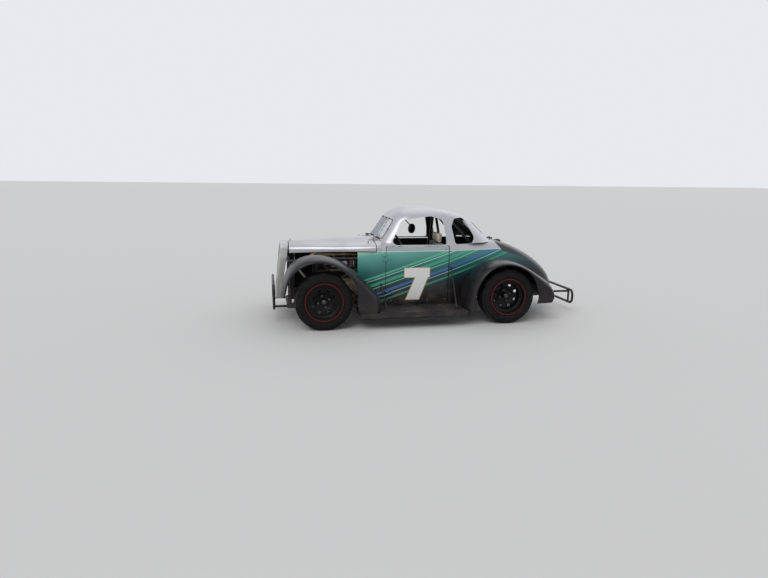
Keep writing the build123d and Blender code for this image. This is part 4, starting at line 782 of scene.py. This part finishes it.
straps, metal = [], []
for side in (-1, 1):
    x = seat_x + side * 0.062
    straps.append(strap([(x, 0.120, 0.735), (x, 0.085, 0.748), (x, 0.0655, 0.735), (x, 0.040, 0.520),
                         (x, 0.0140, 0.320), (x - side * 0.010, -0.008, 0.275),
                         (seat_x + side * 0.030, -0.040, 0.2725)], 0.0225, leftward))
    straps.append(strap([(seat_x + side * 0.146, 0.012, 0.300), (seat_x + side * 0.125, -0.010, 0.276),
                         (seat_x + side * 0.080, -0.032, 0.2690), (seat_x + side * 0.030, -0.048, 0.2725)],
                        0.0215, (0, 1, 0.3)))
    for x0, x1, z0, z1 in ((-0.029, 0.029, -0.017, -0.011), (-0.029, 0.029, 0.011, 0.017),
                           (-0.029, -0.0245, -0.012, 0.012), (0.0245, 0.029, -0.012, 0.012)):
        metal.append(block((x + x0, 0.026, 0.430 + z0), (x + x1, 0.031, 0.430 + z1)))
straps.append(strap([(seat_x, -0.222, 0.2580), (seat_x, -0.180, 0.2590), (seat_x, -0.120, 0.2590),
                     (seat_x, -0.070, 0.2700)], 0.0200, leftward))
metal.append(turned([(-0.009, 0), (-0.009, 0.030), (0.002, 0.030), (0.005, 0.026), (0.006, 0)],
                    (seat_x, -0.050, 0.2760), (0, -0.2, 1), 32))
metal.append(block((seat_x - 0.008, -0.066, 0.279), (seat_x + 0.008, -0.034, 0.286)))
build("harness", straps, "webbing", angle=50)
build("harness_metal", metal, "bright", bevel=0.0008)

# %% [markdown]
# ## Dials and switches
# A dial is a turned bezel with a dark face, marks and a needle. Beside the dials stand five toggle switches
# and the start button.

# %% Dials and switches
finishes["dial_face"] = Paint("dial_face", base_color=screen(18, 18, 19), roughness=0.3, coat_weight=0.8)
finishes["needle"] = Paint("needle", base_color=screen(196, 60, 40), roughness=0.5)
finishes["dial_mark"] = Paint("dial_mark", base_color=screen(214, 212, 200), roughness=0.6)
dash_back = -0.399
dials = [  # x, z, radius, needle's angle
    (0.096, 0.712, 0.040, 2.2), (0.246, 0.722, 0.0265, 0.9), (0.306, 0.722, 0.0265, 1.4),
    (0.022, 0.722, 0.0265, 2.6)]
bezels, faces, marks, needles = [], [], [], []
for x, z, radius, turn in dials:
    spot = (x, dash_back, z)
    bezels.append(turned([(-0.001, 0.001), (-0.001, radius), (0.005, radius), (0.0065, radius - 0.002),
                          (0.0065, radius - 0.004), (0.0025, radius - 0.005), (0.0025, 0.001)], spot, behind))
    faces.append(turned([(0.0026, 0), (0.0026, radius - 0.0048), (0.0032, radius - 0.0048), (0.0034, 0)],
                        spot, behind))
    for k in range(13):
        angle = math.radians(-135 + 22.5 * k)
        inner, outer = radius * (0.62 if k % 3 == 0 else 0.70), radius * 0.80
        ends = [(x - r * math.sin(angle), dash_back + 0.0036, z + r * math.cos(angle))
                for r in (inner, outer)]
        marks.append(tube(ends, 0.0007, 5, level=behind))
    tip = (x + radius * 0.66 * math.cos(turn), dash_back + 0.0046, z + radius * 0.66 * math.sin(turn))
    needles.append(tube([(x, dash_back + 0.0046, z), tip], 0.0009, 6, level=behind))
toggle = [(-0.001, 0), (-0.001, 0.008), (0.002, 0.008), (0.0025, 0.0062), (0.006, 0.0052), (0.006, 0.0026),
          (0.020, 0.0032), (0.021, 0)]
toggles = [turned(toggle, (-0.070 - 0.036 * k, dash_back, 0.716), (0, 1, 0.25), 16) for k in range(5)]
build("dial_bezels", bezels + toggles, "bright", angle=28)
build("dial_faces", faces, "dial_face")
build("dial_marks", marks, "dial_mark")
build("dial_needles", needles, "needle")
start_button = turned([(-0.001, 0), (-0.001, 0.011), (0.004, 0.011), (0.004, 0.0085), (0.009, 0.0085),
                       (0.010, 0.007), (0.0102, 0)], (-0.270, dash_back, 0.716), behind, 28)
build("start_button", [start_button], "red", angle=28)

# %% [markdown]
# ## Lever, pedals and bottle
# The shift lever stands right of the seat, because a motorcycle gearbox is shifted by one pull or push.
# Three pedals hang from a tube ahead of it, and the fire bottle lies clipped to the floor.

# %% Lever, pedals and bottle
lever = hose([(-0.006, -0.300, 0.168), (-0.008, -0.292, 0.300), (-0.004, -0.268, 0.430),
              (0.004, -0.240, 0.520)], 40, 0.0065, 12)
boot = turned([(-0.0005, 0), (-0.0005, 0.026), (0.006, 0.026), (0.010, 0.016), (0.040, 0.010), (0.041, 0)],
              (-0.006, -0.300, 0.165), upward, 28)
link = tube([(-0.007, -0.296, 0.225), (-0.040, -0.430, 0.232), (-0.060, -0.600, 0.262)], 0.005,
            level=leftward)
build("shift_lever", [lever, boot, link], "rods", angle=40)
knob = turned([(-0.020, 0), (-0.020, 0.010), (-0.012, 0.016), (0.004, 0.020), (0.016, 0.017), (0.024, 0.009),
               (0.026, 0)], (0.005, -0.238, 0.536), (0.25, 0.3, 0.9), 32)
build("shift_knob", [knob], "grip", angle=60)
pedals = [tube([(0.080, -0.598, 0.500), (0.325, -0.598, 0.500)], 0.009, 14)]
for x, foot_z, half in ((0.108, 0.262, 0.021), (0.235, 0.262, 0.024), (0.300, 0.258, 0.018)):
    pedals.append(block((x - half, -0.560, foot_z - 0.030), (x + half, -0.554, foot_z + 0.032)))
    pedals += [block((x - half + 0.003, -0.5545, foot_z - 0.024 + 0.012 * k),
                     (x + half - 0.003, -0.5520, foot_z - 0.020 + 0.012 * k)) for k in range(5)]
    pedals.append(hose([(x, -0.560, foot_z), (x, -0.576, foot_z + 0.050), (x, -0.582, 0.420),
                        (x, -0.600, 0.500)], 24, 0.007))
build("pedals", pedals, "rods", angle=35)

bottle_end, bottle_radius = (-0.262, -0.020, 0.222), 0.048
bottle = turned([(0, 0), (0, 0.040), (0.010, bottle_radius), (0.230, bottle_radius), (0.262, 0.030),
                 (0.268, 0.014), (0.285, 0.014), (0.286, 0)], bottle_end, ahead)
build("fire_bottle", [bottle], "red", angle=40)
clips = []
for s in (0.045, 0.175):
    clips.append(turned([(s, 0.0484), (s, 0.0500), (s + 0.018, 0.0500), (s + 0.018, 0.0484)], bottle_end,
                        ahead))
    clips.append(block((-0.305, -0.020 - s - 0.018, 0.165), (-0.219, -0.020 - s, 0.176)))
clips.append(hose([(-0.262, -0.300, 0.222), (-0.262, -0.322, 0.236), (-0.262, -0.330, 0.262)], 16, 0.005))
build("fire_clips", clips, "bright", angle=28)

# %% Mirror glass and the steering wheel's pad
finishes["mirror"] = Paint("mirror_glass", base_color=screen(150, 156, 164), metallic=1.0, roughness=0.06)
glass_way = (math.sin(math.radians(55)), math.cos(math.radians(55)), 0.0)
glass = turned([(0.0055, 0), (0.0055, 0.044), (0.0068, 0.044), (0.0072, 0)], (0.250, -0.200, 0.932),
               glass_way, 48)
build("mirror_glass", [glass], "mirror", angle=28)
hub_pad = turned([(-0.014, 0), (-0.014, 0.034), (0.004, 0.034), (0.012, 0.026), (0.014, 0)],
                 (0.170, -0.300, 0.735), (0, 0.8829476, 0.4694716))
build("wheel_hub_pad", [hub_pad], "grip", "hand_wheel", angle=30)

# %% [markdown]
# ## Finding the skin
# Trim must lie on curved sheet metal. A tree of the CAD mesh's triangles answers where a straight ray first
# meets the skin, and which way the skin faces there.

# %% Rays on the skin
trees = {}


def touch(nodes, start, way):
    """Point and outward direction where a ray first meets the named parts."""
    if nodes not in trees:
        points, faces = [], []
        for node in nodes.split():
            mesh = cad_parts[node].data
            first = len(points)
            points += [v.co.copy() for v in mesh.vertices]
            faces += [[first + k for k in face.vertices] for face in mesh.polygons]
        trees[nodes] = BVHTree.FromPolygons(points, faces)
    spot, normal = trees[nodes].ray_cast(Vector(start), Vector(way))[:2]
    if spot is None:
        raise ValueError("no skin of %s on the ray from %s" % (nodes, start))
    normal = np.array(normal)
    return np.array(spot), normal * -np.sign(normal @ np.array(way, float))


def from_above(nodes, x, y):
    """Where a ray from over the car meets the named parts."""
    return touch(nodes, (x, y, 1.3), (0, 0, -1))


def from_side(nodes, side, y, z):
    """Where a ray from beside the car meets the named parts."""
    return touch(nodes, (side * 0.7, y, z), (-side, 0, 0))


def on_screen(x, z):
    """Where a ray from ahead of the car meets the windscreen or the shell round it."""
    return touch("body_shell windscreen", (x, -1.2, z), behind)


def rounded(corners, radius, count):
    """Closed outline in a plane with eased corners, its points evenly spaced."""
    corners = np.asarray(corners, float)
    line = []
    for before, corner, after in zip(np.roll(corners, 1, 0), corners, np.roll(corners, -1, 0)):
        t = np.linspace(0, 1, 12)[:, None]
        start, end = corner + unit(before - corner) * radius, corner + unit(after - corner) * radius
        line.append((1 - t) ** 2 * start + 2 * t * (1 - t) * corner + t ** 2 * end)
    line = np.concatenate(line + [line[0][:1]])
    along = np.concatenate([[0], np.cumsum(np.linalg.norm(np.diff(line, axis=0), axis=1))])
    even = np.linspace(0, along[-1], count, endpoint=False)
    return np.stack([np.interp(even, along, line[:, k]) for k in range(2)], -1)


def stud(found, radius, high, steps=14):
    """Low domed head on a found spot, with its foot just inside the skin."""
    return turned([(-0.0015, 0), (-0.0015, radius), (high * 0.4, radius), (high * 0.85, radius * 0.65),
                   (high, 0)], *found, steps)


# %% [markdown]
# ## Trim and fasteners
# Rubber lines the screens, round tabs and two braces hold the windscreen, studs follow the hood's lower
# edge and the panel joints, and sprung pins hold the hood and the deck lid.

# %% Screens
seal_level = (0.12, 1, 0.3)
front_line = rounded([(-0.306, 0.834), (0.306, 0.834), (0.271, 1.028), (-0.271, 1.028)], 0.036, 160)
rear_line = rounded([(-0.195, 0.865), (0.195, 0.865), (0.195, 0.990), (-0.195, 0.990)], 0.042, 120)
front_rim = [on_screen(x, z)[0] for x, z in front_line]
rear_rim = [touch("body_shell rear_window", (x, 1.5, z), ahead)[0] for x, z in rear_line]
build("screen_seals", [tube(front_rim, 0.0034, 8, closed=True, level=seal_level),
                       tube(rear_rim, 0.0032, 8, closed=True, level=seal_level)], "rubber")
tab = [(-0.001, 0), (-0.001, 0.011), (0.004, 0.011), (0.0046, 0.009), (0.0048, 0)]
tabs = []
for x, z in ((-0.2, 0.834), (0, 0.834), (0.2, 0.834), (-0.17, 1.028), (0, 1.028), (0.17, 1.028),
             (-0.289, 0.93), (0.289, 0.93)):
    spot, normal = on_screen(x, z)
    tabs += [turned(tab, spot, normal, 20), stud((spot + 0.0046 * normal, normal), 0.005, 0.004, 6)]

# %% Hood and deck lid
hood_edge_y, hood_edge_z = (-1.446, -1.150, -0.850, -0.598), (0.690, 0.703, 0.716, 0.719)
hood_studs = []
for y in np.linspace(-1.41, -0.64, 8):
    z = np.interp(y, hood_edge_y, hood_edge_z) + 0.013
    hood_studs += [stud(from_side("hood", side, y, z), 0.0048, 0.0026) for side in (-1, 1)]
scuff_plate = [(-0.002, 0), (-0.002, 0.021), (0.0012, 0.021), (0.0018, 0.019), (0.0018, 0)]
pin = [(0.0, 0.0055), (0.022, 0.0055), (0.026, 0.003), (0.026, 0)]


def sprung_pin(spot, normal):
    """Scuff plate, pin and ring clip; the ring is an ellipse that stands on the skin."""
    first, second = around(normal)
    turn = np.linspace(0, 2 * np.pi, 24, endpoint=False)[:, None]
    ellipse = np.cos(turn) * first + 0.35 * np.sin(turn) * normal
    ring = spot + 0.014 * normal + 0.010 * ellipse + 0.008 * first
    return [turned(scuff_plate, spot, normal, 28), turned(pin, spot, normal, 14),
            tube(ring, 0.0014, 6, closed=True, level=tuple(second))]


hood_pins, lid_pins = [], []
for x, y in ((0.0, -1.425), (-0.30, -0.66), (0.30, -0.66)):
    hood_pins += sprung_pin(*from_above("hood", x, y))
for x in (-0.11, 0.11):
    lid_pins += sprung_pin(*from_above("deck_lid", x, 1.215))
build("hood_fasteners", hood_studs + hood_pins, "bright", "hood_panel", angle=30)
build("lid_fasteners", lid_pins, "bright", "deck_panel", angle=30)

# %% Panel studs
front_bolts = ((0.318, -1.42), (0.345, -1.255), (0.378, -1.060), (0.395, -0.880))
rear_bolts = ((0.455, 0.48), (0.44, 0.688), (0.415, 0.885), (0.40, 1.05))
board_bolts = [(x, y) for y in (-0.64, -0.33, 0.06, 0.24) for x in (0.460, 0.690)]
door_studs = [(0.125, z) for z in (0.215, 0.475, 0.735)] + [(y, 0.215) for y in (-0.44, -0.25, -0.06)]
studs = []
for name, side in sides.items():
    studs += [stud(from_side("body_shell", side, y, z), 0.0034, 0.0016)
              for z in np.linspace(0.215, 0.745, 7) for y in (0.172, -0.584)]
    for panel, spots in (("front_fender_", front_bolts), ("rear_fender_", rear_bolts),
                         ("running_board_", board_bolts)):
        studs += [stud(from_above(panel + name, side * x, y), 0.0075, 0.0045, 6) for x, y in spots]
build("panel_studs", studs + tabs, "rods", angle=30)
for name, side in sides.items():
    quarter_turns = [stud(from_side("door_" + name, side, y, z), 0.0075, 0.0022, 18) for y, z in door_studs]
    build("door_fasteners_" + name, quarter_turns, "rods", name + "_door", angle=30)

# %% Windscreen braces
braces = []
for x in (-0.09, 0.09):
    line = [on_screen(x, z)[0] + (0, 0.0125, 0) for z in np.linspace(0.826, 1.032, 16)]
    braces.append(tube(line, 0.006, level=leftward))
build("screen_braces", braces, "bar_black")

# %% [markdown]
# ## In the engine bay
# What shows between hood and fender is crowded: pleated intake cones, fuel and oil hoses, plug leads,
# wiring, a catch tank, a battery, and dark sheets on the far side as painted shade at the bay's back.

# %% [markdown]
# A cone's pleats are a square wave round its axis. It has four points a pleat, and the wave is shifted by
# half a step, so that no point falls on its jump, where rounding would decide the side.

# %% Intakes and plug leads
cylinder_y = [-0.945 + (k - 1.5) * 0.105 for k in range(4)]
cone_z, pleats = 0.592, 24
cone = [(0.1795, 0.031), (0.1830, 0.0325), (0.2240, 0.0385), (0.2285, 0.0385)]
clamp = [(0.176, 0.0305), (0.176, 0.0335), (0.184, 0.0345), (0.184, 0.0305)]
cone_cap = [(0.2275, 0.0), (0.2275, 0.0400), (0.2325, 0.0392), (0.2335, 0.030), (0.2315, 0.0)]
plug = [(0.0, 0), (0.0, 0.0085), (0.024, 0.0075), (0.034, 0.0050), (0.036, 0)]
cones, clamps, hoses, leads, wires, bolts = [], [], [], [], [], []
for y in cylinder_y:
    points, faces = turned(cone, (0, y, cone_z), leftward, 4 * pleats)
    centre = points * (1, 0, 0) + (0, y, cone_z)
    turn = np.arctan2(points[:, 2] - cone_z, points[:, 1] - y)
    between = (points[:, 0] > 0.182) & (points[:, 0] < 0.226)
    pleat = 1 + 0.035 * np.sign(np.cos(turn * pleats + np.pi / 4)) * between
    cones.append((centre + (points - centre) * pleat[:, None], faces))
    clamps += [turned(profile, (0, y, cone_z), leftward) for profile in (clamp, cone_cap)]
    hoses.append(hose([(0.144, y + 0.018, 0.560), (0.150, y + 0.026, 0.525), (0.158, y + 0.030, 0.500)], 18,
                      0.0045, 8))
    coil_y = 0.16 * (y + 0.945)
    leads.append(hose([(0.0, y, 0.640), (0.0, y + 0.004, 0.668),
                       (0.030, y + 0.05 * (-0.785 - y) / 0.3, 0.684), (0.052, -0.760 + coil_y, 0.676),
                       (0.056, -0.735 + coil_y, 0.650)], 30, 0.0040, 8, (1, 0.2, 0)))
    wires.append(turned(plug, (0.0, y, 0.638), upward, 18))
build("intake_cones", cones, "gold", angle=20)
build("intake_clamps", clamps, "bright", angle=28)
build("plug_leads", leads, "lead_red")

# %% Hoses and wiring
hoses.append(tube([(0.158, -1.125, 0.500), (0.158, -0.765, 0.500)], 0.0085, 14))
hoses.append(hose([(0.158, -0.765, 0.500), (0.168, -0.690, 0.470), (0.150, -0.640, 0.400),
                   (0.120, -0.612, 0.330)], 36, 0.0065, 12, (1, 0, 0.1)))
fitting = [(-0.004, 0), (-0.004, 0.016), (0.020, 0.016), (0.022, 0.013), (0.034, 0.013), (0.035, 0)]
for side, low_z, end_z in ((-1, 0.262, 0.320), (1, 0.520, 0.372)):
    path = [(side * 0.118, -1.392, low_z), (side * 0.118, -1.360, low_z),
            (side * 0.135, -1.300, (low_z + end_z) / 2), (side * 0.110, -1.235, end_z),
            (side * 0.085, -1.186, end_z)]
    hoses.append(hose(path, 50, 0.0105, 14, upward))
    bolts += [turned(fitting, path[0], behind, 6), turned(fitting, path[-1], ahead, 6)]
build("braided_hoses", hoses, "braid")
loom = smooth_path([(0.296, -0.700, 0.610), (0.292, -0.820, 0.622), (0.272, -0.960, 0.616),
                    (0.240, -1.120, 0.618), (0.200, -1.260, 0.602), (0.150, -1.420, 0.578)], 90)
wires.append(tube(loom, 0.0075, 12))
for k in range(6):
    branch = loom[12 + 13 * k]
    wires.append(hose([branch, branch + (-0.030, 0.012, -0.030),
                       branch + (-0.070, 0.010, -0.052 - 0.012 * (k % 3)),
                       branch + (-0.094, -0.012, -0.100)], 20, 0.0030, 8, upward))
for x in (0.030, -0.030):
    wires.append(hose([(x, -0.735, 0.640), (x * 2, -0.700, 0.664), (x * 4, -0.640, 0.650),
                       (x * 5, -0.612, 0.600)], 24, 0.0055))
build("wiring", wires, "rubber", angle=40)

# %% Battery, tank and covers
battery = [block((-0.312, -0.700, 0.420), (-0.172, -0.618, 0.560)),
           block((-0.316, -0.704, 0.552), (-0.168, -0.614, 0.568)),
           block((-0.325, -0.710, 0.412), (-0.160, -0.6115, 0.420))]
coil_pack = block((0.030, -0.775, 0.640), (0.082, -0.715, 0.662))
build("battery", [*battery, coil_pack], "dash", bevel=0.002)
bolts += [turned([(0, 0), (0, 0.008), (0.014, 0.007), (0.015, 0)], (x, -0.660, 0.567), upward, 16)
          for x in (-0.285, -0.199)]
covers = [turned([(0, 0), (0, 0.034), (0.004, 0.038), (0.150, 0.038), (0.156, 0.034), (0.160, 0.014),
                  (0.172, 0.014), (0.172, 0)], (0.252, -0.652, 0.440), upward),
          block((0.236, -0.6300, 0.470), (0.268, -0.6115, 0.570))]
bolts.append(turned([(0, 0), (0, 0.019), (0.012, 0.019), (0.014, 0.016), (0.014, 0)], (0.252, -0.652, 0.612),
                    upward, 24))
sump_bolt = [(0, 0), (0, 0.0065), (0.005, 0.0065), (0.006, 0)]
bolts += [turned(sump_bolt, (x, -1.150 + 0.0525 * k, 0.5), upward, 6) for k in range(9)
          for x in (-0.0835, 0.0835)]
case_cover = [(-0.002, 0), (-0.002, 0.078), (0.016, 0.078), (0.024, 0.070), (0.026, 0.052), (0.022, 0.048),
              (0.022, 0)]
cover_bolt = [(0.014, 0), (0.014, 0.0060), (0.021, 0.0060), (0.022, 0)]
cover_z, bolt_circle = 0.290, 0.0735
for side, y in ((1, -1.085), (-1, -0.905), (1, -0.860)):
    covers.append(turned(case_cover, (side * 0.140, y, cover_z), (side, 0, 0), 48))
    for k in range(8):
        turn = math.radians(45 * k + 20)
        spot = (side * 0.140, y + bolt_circle * math.cos(turn), cover_z + bolt_circle * math.sin(turn))
        bolts.append(turned(cover_bolt, spot, (side, 0, 0), 6))
build("engine_covers", covers, "engine", angle=28)
build("bay_bolts", bolts, "rods", angle=28)

# %% Cam covers, fuel rail and brake reservoir
rows = np.linspace(-1.135, -0.790, 24)[:, None]
from_end = np.minimum(rows - rows[0], rows[-1] - rows)
round_end = np.sqrt(1 - np.clip(1 - from_end / 0.016, 0, 1) ** 2)
turn = np.linspace(0, 2 * np.pi, 32, endpoint=False)
across, high = 0.024 * softened(turn, 0.5), 0.020 * softened(turn - np.pi / 2, 0.5)
cam_cover = capped(np.stack([0.053 + across + 0 * rows, rows + 0 * across,
                             0.6535 + high * (0.3 + 0.7 * round_end)], -1))
cam_bolts = [turned([(0, 0), (0, 0.007), (0.006, 0.007), (0.007, 0)], (x, y, 0.673), upward, 6)
             for x in (-0.053, 0.053) for y in (-1.100, -1.020, -0.910, -0.830)]
build("cam_covers", [cam_cover, other_side(cam_cover), *cam_bolts], "engine", angle=35)
rail = [tube([(0.205, -1.150, 0.668), (0.205, -0.735, 0.668)], 0.0085, 14),
        turned([(0, 0), (0, 0.030), (0.070, 0.030), (0.074, 0.026), (0.076, 0.012), (0.084, 0.012),
                (0.084, 0)], (0.215, -1.215, 0.600), upward, 32),
        hose([(0.205, -1.150, 0.668), (0.208, -1.180, 0.682), (0.215, -1.215, 0.684)], 16, 0.006),
        hose([(0.205, -0.735, 0.668), (0.214, -0.690, 0.664), (0.226, -0.650, 0.640),
              (0.230, -0.613, 0.616)], 24, 0.006)]
rail += [tube([(0.205, y, 0.664), (0.198, y, 0.618)], 0.0065, level=behind) for y in cylinder_y]
build("fuel_rail", rail, "gold", angle=30)
reservoir = (0.288, -0.832, 0.556)
canister = [turned([(0, 0), (0, 0.022), (0.055, 0.022), (0.060, 0.019), (0.060, 0)], reservoir, upward, 28),
            block((0.284, -0.838, 0.600), (0.304, -0.826, 0.640))]
build("brake_reservoir", canister, "tank", angle=28)
cap = turned([(0.060, 0), (0.060, 0.024), (0.074, 0.024), (0.078, 0.020), (0.078, 0)], reservoir, upward, 24)
build("reservoir_cap", [cap], "red", angle=28)

# %% Dark sheets as painted shade in the bay
sheet_wall = 0.0015
# Dark sheets on the bay's far side: painted shade behind the engine, where the bay lies in shadow.
sheets = [
    [(-0.236, -1.110, 0.250), (-0.297, -0.705, 0.250), (-0.297, -0.705, 0.705), (-0.236, -1.110, 0.705)],
    [(-0.220, -1.190, 0.250), (-0.150, -1.375, 0.250), (-0.146, -1.375, 0.700), (-0.216, -1.190, 0.705)],
    [(-0.150, -1.377, 0.250), (-0.150, -1.472, 0.300), (-0.168, -1.448, 0.690), (-0.146, -1.377, 0.700)]]
build("bay_shade_sheets", [sheet(corners, sheet_wall) for corners in sheets], "bay_shade")

# %% [markdown]
# ## Light, floor and camera
# A pale sky lights the car evenly, a broad lamp gives it a soft shadow and a weaker one opposite fills it.
# The floor is a pale sheet. The camera stands where the picture was taken, worked out from the wheels'
# places in it.

# %% Sky and floor
sky_light, sky_seen = 0.62, 0.86


def pale_world():
    """Even sky; the camera and mirrors see it pale, and surfaces are lit at a plain level."""
    world = bpy.data.worlds.new("pale_sky")
    bpy.context.scene.world = world
    world.use_nodes = True
    tree = world.node_tree
    background = tree.nodes["Background"]
    path = tree.nodes.new("ShaderNodeLightPath")
    seen = path.outputs["Is Camera Ray"]
    for kind in ("Is Glossy Ray", "Is Transmission Ray"):
        either = tree.nodes.new("ShaderNodeMath")
        either.operation = "MAXIMUM"
        tree.links.new(seen, either.inputs[0])
        tree.links.new(path.outputs[kind], either.inputs[1])
        seen = either.outputs[0]
    strength = tree.nodes.new("ShaderNodeMapRange")
    strength.inputs["To Min"].default_value = sky_light
    strength.inputs["To Max"].default_value = sky_seen
    tree.links.new(seen, strength.inputs["Value"])
    tree.links.new(strength.outputs[0], background.inputs["Strength"])
    background.inputs["Color"].default_value = (0.93, 0.95, 1.0, 1.0)


pale_world()
floor_paint = Paint("floor", base_color=screen(206, 205, 203), roughness=0.9)
floor_half, floor_z = 80.0, -0.0005
floor_mesh = bpy.data.meshes.new("floor")
floor_corners = [(x * floor_half, y * floor_half, floor_z) for x, y in ((-1, -1), (1, -1), (1, 1), (-1, 1))]
floor_mesh.from_pydata(floor_corners, [], [(0, 1, 2, 3)])
floor_mesh.materials.append(floor_paint.material)
floor = bpy.data.objects.new("floor", floor_mesh)
bpy.context.scene.collection.objects.link(floor)

# %% Lamps


def lamp(name, place, spread, power):
    """Broad soft lamp so far off that the whole floor is lit alike; it shines from place towards the car."""
    data = bpy.data.lights.new(name, "SUN")
    data.angle = math.radians(spread)
    data.energy = power
    made = bpy.data.objects.new(name, data)
    bpy.context.scene.collection.objects.link(made)
    back = unit(place)
    right, up = around(back)
    made.matrix_world = Matrix(np.stack([right, up, back, place], 1).tolist() + [(0, 0, 0, 1)])


lamp("key", (4.6, -3.6, 6.4), 40, 1.10)
lamp("fill", (-5.0, 5.0, 7.0), 70, 0.45)

# %% Camera
camera_place = np.array((6.0249, -1.6668, 1.4734))
yaw, pitch, roll = 0.20245, 0.19560, 0.01291
focal_pixels, picture_width = 578.52, 768
forward = np.array((-math.cos(yaw) * math.cos(pitch), math.sin(yaw) * math.cos(pitch), -math.sin(pitch)))
right = unit(np.cross(forward, (0, 0, 1)))
above = np.cross(right, forward)
turned_right = math.cos(roll) * right + math.sin(roll) * above
turned_up = math.cos(roll) * above - math.sin(roll) * right
camera_data = bpy.data.cameras.new("camera")
camera_data.sensor_fit = "HORIZONTAL"
camera_data.sensor_width = 36.0
camera_data.lens = focal_pixels / picture_width * camera_data.sensor_width
camera = bpy.data.objects.new("camera", camera_data)
bpy.context.scene.collection.objects.link(camera)
axes = np.stack([turned_right, turned_up, -forward, camera_place], 1).tolist()
camera.matrix_world = Matrix(axes + [(0, 0, 0, 1)])
bpy.context.scene.camera = camera
bpy.context.scene.view_settings.view_transform = "Standard"
